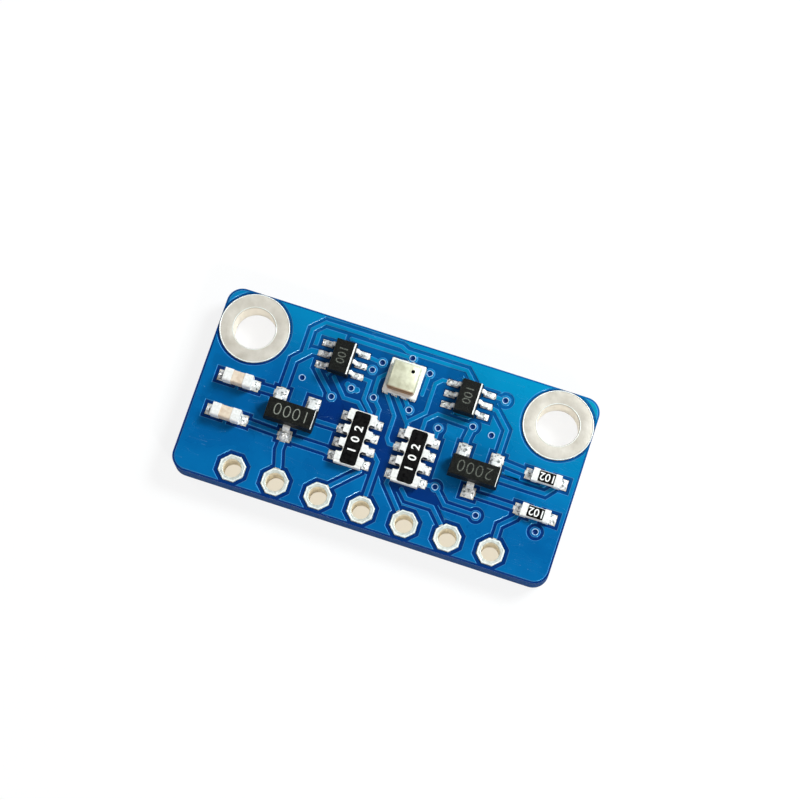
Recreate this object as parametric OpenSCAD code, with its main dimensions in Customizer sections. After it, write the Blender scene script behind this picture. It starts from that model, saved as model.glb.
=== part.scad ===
// Pressure sensor module: a two-layer circuit board with a metal-lidded barometric sensor,
// two level shifters, a regulator, a transistor, resistors and capacitors.
// X runs along the board, Y towards the mounting holes and Z up. The origin is under the
// board's centre, in the plane of the tinned pads that it rests on. Units are millimetres.

/* [Board] */
// Length of the board
board_l = 22.2; // [22:0.1:25]
// Width of the board
board_w = 11.1; // [11:0.1:13]
// Radius of the board's corners
corner_r = 0.9; // [0.3:0.1:1.4]
// Thickness of the bare laminate
laminate_t = 1.5; // [0.8:0.1:2.4]
// Thickness of the copper foil on each face
foil_t = 0.035; // [0.02:0.005:0.07]
// Thickness of the solder mask film
mask_t = 0.025; // [0.015:0.005:0.04]
// Margin between the copper pour and the board's edge
edge_gap = 0.12; // [0.1:0.01:0.3]

/* [Mounting holes] */
// Diameter of the two mounting holes
mount_d = 2.4; // [2:0.1:2.8]
// Diameter of the tinned ring round each mounting hole
mount_ring_d = 4.04; // [3.6:0.02:4.06]
// From a mounting hole's centre to the board's end
mount_inset_x = 2.05; // [2.04:0.01:2.6]
// From a mounting hole's centre to the board's long edge
mount_inset_y = 2.06; // [2.04:0.01:2.4]
// How far the tin on the rings rises in a low dome
tin_dome = 0.03; // [0:0.01:0.06]

/* [Header holes] */
// Pitch of the header holes
header_pitch = 2.54; // [2.5:0.02:2.6]
// From the header row's centre line to the board's long edge
header_inset = 0.97; // [0.9:0.01:1.1]
// Diameter of the header holes
header_d = 1.04; // [0.8:0.02:1.2]
// Width of an eight-sided header pad across its flats
header_pad_w = 1.5; // [1.4:0.02:1.7]

/* [Plating] */
// Thickness of the tin over the copper of the pads
tin_t = 0.035; // [0.015:0.005:0.06]
// Thickness of the plating on the wall of a hole
plating_t = 0.04; // [0.02:0.005:0.06]
// Diameter of a via's hole
via_d = 0.28; // [0.2:0.02:0.34]
// Diameter of the copper ring round a via
via_ring_d = 0.58; // [0.5:0.02:0.7]

/* [Tracks] */
// Width of a signal track
track_w = 0.22; // [0.2:0.02:0.36]
// Width of a supply track
supply_w = 0.32; // [0.3:0.02:0.5]
// Gap between the copper pour and a track, via or pad
pour_gap = 0.21; // [0.1:0.01:0.22]
// Gap between the copper pour and a header pad
header_gap = 0.24; // [0.12:0.01:0.24]
// Gap between the copper pour and a mounting hole's ring
mount_gap = 0.16; // [0.1:0.01:0.2]
// How far the mask stays back from a soldered pad
mask_gap = 0.06; // [0.03:0.01:0.08]
// How far the mask lies up the side of a copper edge
mask_side = 0.02; // [0.01:0.005:0.04]

/* [Six-lead packages] */
// Length of the moulded body, along its rows of leads
shifter_l = 2; // [1.9:0.05:2.2]
// Width of the moulded body
shifter_w = 1.25; // [1.15:0.05:1.35]
// Height of the moulded body
shifter_h = 0.9; // [0.7:0.05:1.1]
// Pitch of the leads
shifter_pitch = 0.65; // [0.6:0.01:0.7]
// Width of a lead
shifter_lead_w = 0.24; // [0.15:0.01:0.3]
// Distance over the toes of the leads
shifter_span = 2.15; // [2.1:0.05:2.3]

/* [Three-lead packages] */
// Length of the moulded body, along its rows of leads
sot_l = 2.9; // [2.7:0.05:3.1]
// Width of the moulded body
sot_w = 1.3; // [1.2:0.05:1.4]
// Height of the moulded body
sot_h = 1.05; // [0.85:0.05:1.2]
// From the middle of the body to the centre line of an outer lead
sot_pitch = 0.96; // [0.9:0.01:1]
// Width of a lead
sot_lead_w = 0.42; // [0.3:0.02:0.5]
// Distance over the toes of the leads
sot_span = 2.45; // [2.4:0.05:2.6]

/* [Soldered pads] */
// From the side of a moulded body out to the inner end of its leads' pads
lead_pad_in = 0.13; // [0.1:0.01:0.2]
// How far a six-lead package's pads reach past the toes
shifter_pad_out = 0.33; // [0.2:0.01:0.35]
// How far a three-lead package's pads reach past the toes
sot_pad_out = 0.23; // [0.15:0.01:0.3]
// How far an array's pads reach under its terminals, from the ceramic's side
array_pad_in = 0.3; // [0.2:0.01:0.32]
// How far an array's pads reach out, from the ceramic's side
array_pad_out = 0.4; // [0.3:0.01:0.42]
// How far a chip part's pads reach inwards past its end cap
chip_pad_in = 0.04; // [0.02:0.01:0.1]
// How far a chip part's pads reach out past its end
chip_pad_out = 0.43; // [0.3:0.01:0.5]

/* [Moulded bodies and leads] */
// Thickness of the lead frame
lead_t = 0.12; // [0.08:0.01:0.15]
// Length of a six-lead package's feet
shifter_foot = 0.22; // [0.18:0.01:0.24]
// Length of a three-lead package's feet
sot_foot = 0.3; // [0.26:0.01:0.34]
// Radius of a lead's bends, to its centre line
bend_r = 0.09; // [0.08:0.01:0.1]
// Draft of the moulded sides, in degrees
draft = 8; // [3:1:12]
// Clear height between the mask and a moulded body
body_clear = 0.03; // [0.02:0.01:0.1]
// Height of the bevel along the edge over the first lead's row
bevel_h = 0.07; // [0.03:0.01:0.12]
// Diameter of the mark beside the first lead
mark_d = 0.26; // [0.15:0.01:0.35]
// Depth of that mark
mark_depth = 0.03; // [0.01:0.01:0.06]

/* [Chip parts] */
// Length of a chip resistor or chip capacitor
chip_l = 1.6; // [1.5:0.05:1.7]
// Width of a chip resistor or chip capacitor
chip_w = 0.7; // [0.7:0.02:0.9]
// Height of a chip resistor's ceramic
resistor_h = 0.42; // [0.3:0.02:0.5]
// Height of a chip capacitor
capacitor_h = 0.8; // [0.6:0.05:0.9]
// Length of a chip resistor's end cap
resistor_cap_l = 0.32; // [0.2:0.01:0.38]
// Length of a chip capacitor's end cap
capacitor_cap_l = 0.46; // [0.3:0.01:0.5]
// Thickness of the end caps and of the arrays' terminals
cap_t = 0.03; // [0.015:0.005:0.05]
// Thickness of the black overcoat on resistors
overcoat_t = 0.03; // [0.015:0.005:0.05]

/* [Resistor arrays] */
// Length of an array
array_l = 3.2; // [3:0.05:3.3]
// Width of an array
array_w = 1.6; // [1.5:0.05:1.7]
// Height of an array's ceramic
array_h = 0.48; // [0.4:0.02:0.6]
// Pitch of an array's terminals
array_pitch = 0.8; // [0.76:0.01:0.82]
// Width of a terminal
terminal_w = 0.46; // [0.36:0.01:0.5]
// Depth of the notches between the terminals
notch_depth = 0.3; // [0.15:0.01:0.34]
// Radius of a notch's inner corners, as a part of its width
notch_round = 0.45; // [0.1:0.05:0.45]
// Width of the black overcoat along the middle
overcoat_w = 0.92; // [0.7:0.02:0.94]

/* [Sensor] */
// Length and width of the sensor's substrate
sensor_w = 2.02; // [1.9:0.02:2.1]
// Thickness of the substrate
substrate_t = 0.2; // [0.15:0.01:0.3]
// Length and width of the metal lid
lid_w = 1.66; // [1.6:0.02:1.84]
// Height of the lid
lid_h = 0.56; // [0.45:0.01:0.7]
// Wall thickness of the lid
lid_wall = 0.08; // [0.05:0.01:0.1]
// Radius of the lid's edges
lid_r = 0.16; // [0.12:0.01:0.22]
// Diameter of the vent hole
vent_d = 0.22; // [0.12:0.01:0.3]
// Where the vent hole is, from the lid's centre along X and along Y
vent_offset = 0.4; // [0.3:0.01:0.5]

/* [Places on the board] */
// Distance of the left level shifter from the board's middle
shifter_left_x = 3.7; // [3.6:0.01:3.75]
// Distance of the right level shifter from the board's middle
shifter_right_x = 3.78; // [3.7:0.01:3.85]
// Line through the level shifters and the sensor, above the board's middle
upper_row_y = 3.3; // [3.24:0.01:3.34]
// Distance of the regulator and of the transistor from the board's middle
sot_x = 5.41; // [5.35:0.01:5.5]
// Depth of the regulator below the board's middle
regulator_y = 0.76; // [0.7:0.01:0.82]
// Depth of the transistor below the board's middle
transistor_y = 0.63; // [0.6:0.01:0.7]
// Distance of the left array from the board's middle
array_left_x = 1.52; // [1.48:0.01:1.6]
// Distance of the right array from the board's middle
array_right_x = 1.84; // [1.78:0.01:1.9]
// Line through the arrays, below the board's middle
array_y = 0.9; // [0.86:0.01:1]
// Distance of the capacitors from the board's middle
capacitor_x = 8.9; // [8.8:0.01:9.1]
// Distance of the resistors from the board's middle
resistor_x = 9.35; // [9.25:0.01:9.45]
// Height of the upper chip parts above the board's middle
upper_chip_y = 0.32; // [0.2:0.01:0.4]
// Depth of the lower chip parts below the board's middle
lower_chip_y = 1.77; // [1.7:0.01:1.9]

/* [Hidden] */

$fn = 32;
// Length that reaches well past a small part, for its cutting and crossing profiles
PAST = 20;
// Overlap that a cut has past the face that it opens
EPS = 0.01;
// Angle between the points of a bent lead
BEND_STEP = 20;
// Steps in the hollow flank of a solder joint
FLANK_STEPS = 4;
// Steps across the domed tin of a mounting ring
DOME_STEPS = 6;
// Lean of a lead's leg from the vertical
LEAN = 10;
// Length of a lead inside its moulded body
LEAD_SUNK = 0.18;
// Height of a body's parting line, as a part of the body's height
PARTING = 0.45;
// Run of a solder joint's flank before the heel and after the toe of a lead
HEEL_RUN = 0.1;
TOE_RUN = 0.06;
// Height of the solder over a lead's foot, as a part of the lead's thickness
SOLDER_RISE = 1.15;
// Distance from a pad's inner end to where its joint goes under the chip part
INNER_RUN = 0.02;
// Top of a joint beside an end cap or a terminal: how thick it is there
FILLET_TOP = 0.045;
// Gap between an overcoat and the caps or terminals beside it
COAT_GAP = 0.01;
// Distance from the ends of an array's ceramic to its overcoat
OVERCOAT_BACK = 0.05;

// Half the side of a regular octagon, for a half width of 1 across its flats
OCTAGON_SIDE = tan(180 / 8);

HEADER_COUNT = 7;
ARRAY_WAYS = 4;

// Heights, from the plane that the tinned pads rest on
flange_t = foil_t + tin_t;
laminate_z = flange_t;
top_z = laminate_z + laminate_t;
pad_z = top_z + foil_t;
plated_z = top_z + flange_t;
// The solder under a lead or a cap is as thick as the mask, so that nothing sits on the mask
seat_t = mask_t;

// Places
shifter_left = [-shifter_left_x, upper_row_y];
shifter_right = [shifter_right_x, upper_row_y];
sensor = [-0.02, upper_row_y];
regulator = [-sot_x, -regulator_y];
transistor = [sot_x, -transistor_y];
array_left = [-array_left_x, -array_y];
array_right = [array_right_x, -array_y];
capacitor_upper = [-capacitor_x, upper_chip_y];
capacitor_lower = [-capacitor_x, -lower_chip_y];
resistor_upper = [resistor_x, upper_chip_y];
resistor_lower = [resistor_x, -lower_chip_y];
function mount_at(side) = [side * (board_l / 2 - mount_inset_x), board_w / 2 - mount_inset_y];
function header_at(i) = [(i - (HEADER_COUNT + 1) / 2) * header_pitch, header_inset - board_w / 2];

// Leads of a package as [side, place along the row]; +1 is the row on local +X
shifter_leads = [for (side = [-1, 1], k = [-1:1]) [side, k * shifter_pitch]];
sot_leads = [[1, -sot_pitch], [1, sot_pitch], [-1, 0]];
// Terminals of an array, in the same form
array_terminals = [for (side = [-1, 1], k = [0:ARRAY_WAYS - 1])
    [side, (k - (ARRAY_WAYS - 1) / 2) * array_pitch]];

// Soldered pads: how far each reaches from its part's middle, inner end and outer end, and its width
shifter_pad = [shifter_w / 2 + lead_pad_in, shifter_span / 2 + shifter_pad_out];
shifter_pad_w = shifter_lead_w * 1.5;
sot_pad = [sot_w / 2 + lead_pad_in, sot_span / 2 + sot_pad_out];
sot_pad_w = sot_lead_w * 1.8;
array_pad = [array_w / 2 - array_pad_in, array_w / 2 + array_pad_out];
array_pad_w = terminal_w * 1.1;
resistor_pad = [chip_l / 2 - resistor_cap_l - chip_pad_in, chip_l / 2 + chip_pad_out];
capacitor_pad = [chip_l / 2 - capacitor_cap_l - chip_pad_in, chip_l / 2 + chip_pad_out];
chip_pad_w = chip_w * 0.9;
sensor_pad = [sensor_w / 2 - 0.3, sensor_w / 2 + 0.06];
sensor_pad_w = 0.3;
sensor_pad_pitch = 0.55;
// The sensor's pads lie in two rows of four, along its edges on +Y and -Y
sensor_pads = [for (side = [-1, 1], k = [0:3]) [side, (k - 1.5) * sensor_pad_pitch]];

// A local point or size turned by 0 or 90 degrees
function turned(v, angle) = angle == 90 ? [-v[1], v[0]] : v;
function turned_size(v, angle) = angle == 90 ? [v[1], v[0]] : v;
// Board places and sizes of a part's pads
function pads_of(places, at, angle, reach, w) = [for (p = places)
    [at + turned([p[0] * (reach[0] + reach[1]) / 2, p[1]], angle),
     turned_size([reach[1] - reach[0], w], angle)]];
CHIP_ENDS = [[-1, 0], [1, 0]];
shifter_left_pads = pads_of(shifter_leads, shifter_left, 0, shifter_pad, shifter_pad_w);
shifter_right_pads = pads_of(shifter_leads, shifter_right, 0, shifter_pad, shifter_pad_w);
regulator_pads = pads_of(sot_leads, regulator, 90, sot_pad, sot_pad_w);
transistor_pads = pads_of(sot_leads, transistor, 90, sot_pad, sot_pad_w);
array_left_pads = pads_of(array_terminals, array_left, 0, array_pad, array_pad_w);
array_right_pads = pads_of(array_terminals, array_right, 0, array_pad, array_pad_w);
resistor_upper_pads = pads_of(CHIP_ENDS, resistor_upper, 0, resistor_pad, chip_pad_w);
resistor_lower_pads = pads_of(CHIP_ENDS, resistor_lower, 0, resistor_pad, chip_pad_w);
capacitor_upper_pads = pads_of(CHIP_ENDS, capacitor_upper, 0, capacitor_pad, chip_pad_w);
capacitor_lower_pads = pads_of(CHIP_ENDS, capacitor_lower, 0, capacitor_pad, chip_pad_w);
sensor_board_pads = pads_of(sensor_pads, sensor, 90, sensor_pad, sensor_pad_w);
SOLDERED_PADS = concat(
    shifter_left_pads, shifter_right_pads, regulator_pads, transistor_pads,
    array_left_pads, array_right_pads, resistor_upper_pads, resistor_lower_pads,
    capacitor_upper_pads, capacitor_lower_pads, sensor_board_pads);

// Vias that stand in a gap of their own, because their net isn't the pour's
SIGNAL_VIAS = [
    [-3.63, 1.07], [-2.72, 1.88], [-1.35, 1.76], [-1.92, 3.27], [-1.5, 3.85], [0.05, 4.62],
    [0.78, 1.7], [2.67, 1.22], [1.25, 4.08], [3.55, -2.05], [5.8, 3.92], [4.5, 1.9],
    [6.2, -2.88], [9.65, -2.73]];
// Vias that join the pours of both faces
GROUND_VIAS = [[-5.55, 1.6], [5.65, 1.75]];
VIAS = concat(SIGNAL_VIAS, GROUND_VIAS);

// Tracks of the top face, each the points that it runs through, from pad to pad or via
SUPPLY_TRACKS = [
    [capacitor_upper_pads[1][0], regulator_pads[1][0]],
    [regulator_pads[1][0], [-6.36, 2.45], [-5.55, 3.27], shifter_left_pads[1][0]],
    [regulator_pads[2][0], [-4.9, -1.95], [-3, -1.95], array_left_pads[0][0]],
    [regulator_pads[2][0], [-5.45, -2.75], [-5.2, -3.6], header_at(2)],
    [transistor_pads[1][0], [4.38, 1.1], SIGNAL_VIAS[11]],
    [[-2.98, 2.02], SIGNAL_VIAS[1], [-2.38, 1.88]]];
SIGNAL_TRACKS = [
    [capacitor_lower_pads[1][0], regulator_pads[2][0]],
    [[-5.9, 2.9], [-5.9, 4.48], [-5.29, 5.09], [-0.75, 5.09], [-0.35, 4.9], [3.2, 4.9],
     [3.75, 4.35]],
    [shifter_left_pads[0][0], [-4.9, 2.34], SIGNAL_VIAS[0]],
    [[-3.85, 2.2], [-2.95, 1.22], [-2.1, 1.22], [-1.7, 0.85]],
    [shifter_left_pads[3][0], [-1.85, 2.6], [-1.85, 1.5], [-1.25, 0.88]],
    [SIGNAL_VIAS[2], [-0.82, 1.2], [-0.82, 0.9], array_left_pads[7][0]],
    [shifter_left_pads[4][0], SIGNAL_VIAS[3]],
    [SIGNAL_VIAS[2], [-1.42, 2.3], [-1.42, 2.95], [-1.05, 3.32]],
    [shifter_left_pads[5][0], [-1.8, 3.85], SIGNAL_VIAS[4]],
    [[-3.6, 4.62], SIGNAL_VIAS[5], sensor_board_pads[5][0]],
    [sensor_board_pads[3][0], [0.1, 1.12], [0.1, -0.2], [0.3, -0.5], array_right_pads[2][0]],
    [sensor_board_pads[2][0], [0.95, 0.85], array_right_pads[3][0]],
    [sensor_board_pads[1][0], SIGNAL_VIAS[6]],
    [shifter_right_pads[2][0], [2.05, 3.95], [1.72, 3.62], [1.72, 1.85], [0.9, 1.03]],
    [[1.85, 0.9], [1.85, 1.45], [2.4, 1.98], SIGNAL_VIAS[11]],
    [SIGNAL_VIAS[7], array_right_pads[7][0]],
    [[1.2, 2.8], SIGNAL_VIAS[8]],
    [shifter_right_pads[5][0], SIGNAL_VIAS[10]],
    [shifter_right_pads[4][0], [5.5, 3.2], [6.38, 2.3], transistor_pads[0][0]],
    [transistor_pads[0][0], resistor_upper_pads[0][0]],
    [[6.6, -0.5], [9.5, -0.5], resistor_upper_pads[1][0]],
    [transistor_pads[2][0], resistor_lower_pads[0][0]],
    [resistor_lower_pads[0][0], [8.35, -2.3], [7.62, -3], header_at(7)],
    [array_right_pads[4][0], SIGNAL_VIAS[9], [4.35, -2.86], SIGNAL_VIAS[12]],
    [[1.8, -2.75], [2.22, -3.18], [3.75, -3.18], header_at(6)],
    [array_right_pads[0][0], [0.88, -2.7], header_at(5)],
    [array_left_pads[5][0], [-0.35, -1.3], [0.03, -1.68], header_at(4)],
    [[-0.75, -2.5], [-2.15, -3.9], header_at(3)],
    [[-4.3, -0.52], array_left_pads[2][0]]];

// Area between the parts that the pour leaves free
POUR_FREE = [
    [-4.05, -0.3], [-2.6, -0.3], [-2.6, -2.4], [0.3, -2.4], [0.75, -3], [4.2, -3],
    [3.5, -2.3], [3.1, -2.3], [3.1, 4.85], [-3.95, 4.85], [-3.95, 2.3], [-4.3, 1.5],
    [-4.05, 0.9]];

// Unit vector from one point to another
function unit(a, b) = (b - a) / norm(b - a);
// The same vector turned a quarter to the left
function left(v) = [-v[1], v[0]];
// Point beside corner i of a line, at h to the left of both of its sides
function beside(p, i, h) =
    let (last = len(p) - 1,
         from = unit(p[max(i - 1, 0)], p[max(i, 1)]),
         to = unit(p[min(i, last - 1)], p[min(i + 1, last)]),
         mitre = left(from) + left(to))
    p[i] + mitre * (2 * h / (mitre * mitre));
// A closed outline, listed anticlockwise, drawn in by h on every side
function drawn_in(p, h) =
    let (n = len(p))
    [for (i = [0:n - 1])
        let (mitre = left(unit(p[(i + n - 1) % n], p[i])) + left(unit(p[i], p[(i + 1) % n])))
        p[i] + mitre * (2 * h / (mitre * mitre))];
// Outline of a ribbon that follows a line, h wide on each side
function ribbon(p, h) = concat(
    [for (i = [0:len(p) - 1]) beside(p, i, h)],
    [for (i = [len(p) - 1:-1:0]) beside(p, i, -h)]);
// Two corners of the eight-sided end of a track that runs in the direction given
function track_tip(end, direction, h) =
    [for (side = [-1, 1]) end + h * (direction + side * OCTAGON_SIDE * left(direction))];
// Outline of a track that follows a line, h wide on each side, with eight-sided ends
function track_outline(p, h) =
    let (last = len(p) - 1,
         out = unit(p[1], p[0]),
         on = unit(p[last - 1], p[last]),
         line = concat([p[0] + h * OCTAGON_SIDE * out],
                       [for (i = [1:1:last - 1]) p[i]],
                       [p[last] + h * OCTAGON_SIDE * on]))
    concat(
        [for (i = [0:last]) beside(line, i, -h)], track_tip(p[last], on, h),
        [for (i = [last:-1:0]) beside(line, i, h)], track_tip(p[0], out, h));
// Centre line of a gull-wing lead from the side: out of the body, down its leg, along its foot
function gull_path(x_in, x_toe, foot, z_out, z_foot) =
    let (r = bend_r,
         heel = x_toe - foot,
         knee = heel - (2 * r + (z_out - z_foot - 2 * r) * sin(LEAN)) / cos(LEAN))
    concat(
        [[x_in, z_out]],
        [for (a = [90:-BEND_STEP:LEAN]) [knee, z_out - r] + r * [cos(a), sin(a)]],
        [for (a = [180 + LEAN:BEND_STEP:270]) [heel, z_foot + r] + r * [cos(a), sin(a)]],
        [[x_toe, z_foot]]);
// Hollow flank of a solder joint, from its foot at x = b up to x = t at height h
function flank(b, t, h) = [for (i = [0:FLANK_STEPS])
    let (a = 90 * i / FLANK_STEPS)
    [t + (b - t) * (1 - sin(a)), seat_t + (h - seat_t) * (1 - cos(a))]];
function reversed(list) = [for (i = [len(list) - 1:-1:0]) list[i]];
// Section of a solder joint that stands on b[0]..b[1] and narrows to t[0]..t[1] at height h
function joint_section(b, t, h) = concat(
    [[b[0], 0], [b[1], 0]], flank(b[1], t[1], h), reversed(flank(b[0], t[0], h)));

// Rectangle with true arcs at its corners
module rounded_rect(size, r) {
    square([size[0], size[1] - 2 * r], center = true);
    square([size[0] - 2 * r, size[1]], center = true);
    for (x = [-1, 1], y = [-1, 1])
        translate([x * (size[0] / 2 - r), y * (size[1] / 2 - r)])
            circle(r = r);
}

// Profile in the XZ plane, drawn out along Y
module along_y(w) {
    rotate([90, 0, 0])
        linear_extrude(w, center = true)
            children();
}

// Profile in the YZ plane, drawn out along X
module along_x(w) {
    rotate([90, 0, 90])
        linear_extrude(w, center = true)
            children();
}

module octagon(w) {
    rotate(180 / 8)
        circle(d = w / cos(180 / 8), $fn = 8);
}

module tracks(grow) {
    for (p = SUPPLY_TRACKS)
        polygon(track_outline(p, supply_w / 2 + grow));
    for (p = SIGNAL_TRACKS)
        polygon(track_outline(p, track_w / 2 + grow));
}

module pads(grow) {
    for (p = SOLDERED_PADS)
        translate(p[0])
            square(p[1] + [2 * grow, 2 * grow], center = true);
}

module at_vias(places) {
    for (v = places)
        translate(v)
            children();
}

module at_headers() {
    for (i = [1:HEADER_COUNT])
        translate(header_at(i))
            children();
}

module at_mounts() {
    for (side = [-1, 1])
        translate(mount_at(side))
            children();
}

// Outline of the board and of what lies on it up to a margin
module board_outline(margin = 0) {
    rounded_rect([board_l - 2 * margin, board_w - 2 * margin], corner_r - margin);
}

// The pour of one face: all of the board but what the gaps leave free
module pour(grow) {
    difference() {
        board_outline(edge_gap - grow);
        at_vias(SIGNAL_VIAS)
            circle(d = via_ring_d + 2 * (pour_gap - grow));
        at_headers()
            octagon(header_pad_w + 2 * (header_gap - grow));
        at_mounts()
            circle(d = mount_ring_d + 2 * (mount_gap - grow));
        children();
    }
}

// Copper of the top face; grow widens its edges, for the mask that lies over them
module copper_top_area(grow = 0) {
    difference() {
        union() {
            pour(grow) {
                tracks(pour_gap - grow);
                pads(pour_gap - grow);
                polygon(drawn_in(POUR_FREE, grow));
            }
            tracks(grow);
            pads(grow);
            at_vias(VIAS)
                circle(d = via_ring_d + 2 * grow);
        }
        at_headers()
            octagon(header_pad_w);
        at_mounts()
            circle(d = mount_ring_d);
    }
}

// Copper of the underside: a whole pour with a ring round each via
module copper_bottom_area(grow = 0) {
    pour(grow);
    at_vias(VIAS)
        circle(d = via_ring_d + 2 * grow);
}

// Holes that a plated barrel fills, in the laminate and the foil
module barrel_holes() {
    at_vias(VIAS)
        circle(d = via_d + 2 * plating_t);
    at_headers()
        circle(d = header_d + 2 * plating_t);
    at_mounts()
        circle(d = mount_d + 2 * plating_t);
}

// Openings of the mask on both faces
module mask_openings() {
    at_vias(VIAS)
        circle(d = via_d);
    at_headers()
        octagon(header_pad_w + 2 * mask_gap);
    at_mounts()
        circle(d = mount_ring_d + 2 * mask_gap);
}

// A mask film on a foil: base over the laminate and a raised film over the copper area given
module mask_over() {
    difference() {
        union() {
            linear_extrude(mask_t)
                board_outline();
            linear_extrude(foil_t + mask_t)
                children(1);
        }
        translate([0, 0, -EPS])
            linear_extrude(foil_t + EPS)
                children(0);
        translate([0, 0, -EPS])
            linear_extrude(PAST)
                children(2);
    }
}

module board_laminate() {
    color("#2b5a6e")
        translate([0, 0, laminate_z])
            linear_extrude(laminate_t)
                difference() {
                    board_outline();
                    barrel_holes();
                }
}

module copper_top() {
    color("#c98a5b")
        translate([0, 0, top_z])
            linear_extrude(foil_t)
                difference() {
                    copper_top_area();
                    at_vias(VIAS)
                        circle(d = via_d + 2 * plating_t);
                }
}

module copper_bottom() {
    color("#c98a5b")
        translate([0, 0, laminate_z - foil_t])
            linear_extrude(foil_t)
                difference() {
                    copper_bottom_area();
                    at_vias(VIAS)
                        circle(d = via_d + 2 * plating_t);
                }
}

module solder_mask_top() {
    color("#0d63a8")
        translate([0, 0, top_z])
            mask_over() {
                copper_top_area();
                copper_top_area(mask_side);
                union() {
                    mask_openings();
                    pads(mask_gap);
                }
            }
}

module solder_mask_bottom() {
    color("#0d63a8")
        translate([0, 0, laminate_z])
            mirror([0, 0, 1])
                mask_over() {
                    copper_bottom_area();
                    copper_bottom_area(mask_side);
                    mask_openings();
                }
}

// Plated mounting hole: one revolved piece of barrel, flat lower ring and domed upper ring
module mounting_ring(side) {
    hole_r = mount_d / 2;
    ring_r = mount_ring_d / 2;
    barrel_r = hole_r + plating_t;
    dome = [for (i = [0:DOME_STEPS])
        let (u = i / DOME_STEPS)
        [hole_r + (ring_r - hole_r) * u, plated_z + tin_dome * sin(180 * u)]];
    color("#d8d4cc")
        translate(mount_at(side))
            rotate_extrude()
                polygon(concat(
                    [[barrel_r, laminate_z], [ring_r, laminate_z], [ring_r, 0], [hole_r, 0]],
                    dome,
                    [[ring_r, top_z], [barrel_r, top_z]]));
}

// Plated header hole: an eight-sided pad on each face, joined by its barrel
module header_pad(i) {
    color("#d8d4cc")
        translate(header_at(i))
            difference() {
                union() {
                    linear_extrude(flange_t)
                        octagon(header_pad_w);
                    translate([0, 0, top_z])
                        linear_extrude(flange_t)
                            octagon(header_pad_w);
                    cylinder(d = header_d + 2 * plating_t, h = plated_z);
                }
                translate([0, 0, -EPS])
                    cylinder(d = header_d, h = plated_z + 2 * EPS);
            }
}

module via_barrels() {
    color("#c98a5b")
        translate([0, 0, laminate_z - foil_t])
            at_vias(VIAS)
                difference() {
                    cylinder(d = via_d + 2 * plating_t, h = laminate_t + 2 * foil_t);
                    translate([0, 0, -EPS])
                        cylinder(d = via_d, h = laminate_t + 2 * foil_t + 2 * EPS);
                }
}

// Puts a part on the board: local z = 0 is the top of its copper pads
module placed(at, angle = 0) {
    translate([at[0], at[1], pad_z])
        rotate(angle)
            children();
}

// Moulded body with draft above and below its parting line; w is along X and l along Y.
// A bevel takes the upper edge off on +X.
module moulded_body(w, l, h, bevel = 0) {
    z0 = mask_t + body_clear;
    zp = z0 + h * PARTING;
    z1 = z0 + h;
    low = (zp - z0) * tan(draft);
    high = (z1 - zp) * tan(draft);
    function upper_edge(x, cut) = cut > 0 ? [[x + cut * tan(draft), z1 - cut], [x - cut, z1]] : [[x, z1]];
    function side_view(s, cut) = concat(
        [[-s / 2 + low, z0], [s / 2 - low, z0], [s / 2, zp]],
        upper_edge(s / 2 - high, cut),
        [[-s / 2 + high, z1], [-s / 2, zp]]);
    intersection() {
        along_y(PAST)
            polygon(side_view(w, bevel));
        along_x(PAST)
            polygon(side_view(l, 0));
    }
}

// Height of a lead's centre line where it leaves the body, at the parting line
function lead_out_z(h) = mask_t + body_clear + h * PARTING;

// Gull-wing leads at the places given
module gull_leads(places, lead_w, body_w, span, foot, h) {
    path = gull_path(body_w / 2 - LEAD_SUNK, span / 2, foot, lead_out_z(h), seat_t + lead_t / 2);
    for (p = places)
        translate([0, p[1], 0])
            mirror([p[0] < 0 ? 1 : 0, 0, 0])
                along_y(lead_w)
                    polygon(ribbon(path, lead_t / 2));
}

// One solder joint: stands on x from b[0] to b[1], w wide, and narrows upwards to t and tw
module joint(b, t, w, tw, h) {
    intersection() {
        along_y(PAST)
            polygon(joint_section(b, t, h));
        along_x(PAST)
            polygon(joint_section([-w / 2, w / 2], [-tw / 2, tw / 2], h));
    }
}

// Solder joints at the places given, all alike
module joints(places, reach, t, w, tw, h) {
    for (p = places)
        translate([0, p[1], 0])
            mirror([p[0] < 0 ? 1 : 0, 0, 0])
                joint(reach, t, w, tw, h);
}

module shifter_lead_shapes() {
    gull_leads(shifter_leads, shifter_lead_w, shifter_w, shifter_span, shifter_foot, shifter_h);
}

module sot_lead_shapes() {
    gull_leads(sot_leads, sot_lead_w, sot_w, sot_span, sot_foot, sot_h);
}

module shifter_body(at) {
    top = mask_t + body_clear + shifter_h;
    color("#1d1d1f")
        placed(at)
            difference() {
                moulded_body(shifter_w, shifter_l, shifter_h, bevel_h);
                shifter_lead_shapes();
                translate([shifter_w / 2, -shifter_l / 2, top - mark_depth])
                    translate([-1.4, 1.4, 0] * mark_d)
                        cylinder(d = mark_d, h = PAST);
            }
}

module shifter_lead_set(at) {
    color("#c9c9c6")
        placed(at)
            shifter_lead_shapes();
}

module shifter_solder(at) {
    color("#e2e2de")
        placed(at)
            difference() {
                joints(shifter_leads, shifter_pad,
                       [shifter_pad[0] + HEEL_RUN, shifter_span / 2 + TOE_RUN],
                       shifter_pad_w, shifter_lead_w * 1.15, seat_t + lead_t * SOLDER_RISE);
                shifter_lead_shapes();
            }
}

module sot_body(at) {
    color("#1d1d1f")
        placed(at, 90)
            difference() {
                moulded_body(sot_w, sot_l, sot_h);
                sot_lead_shapes();
            }
}

module sot_lead_set(at) {
    color("#c9c9c6")
        placed(at, 90)
            sot_lead_shapes();
}

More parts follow.
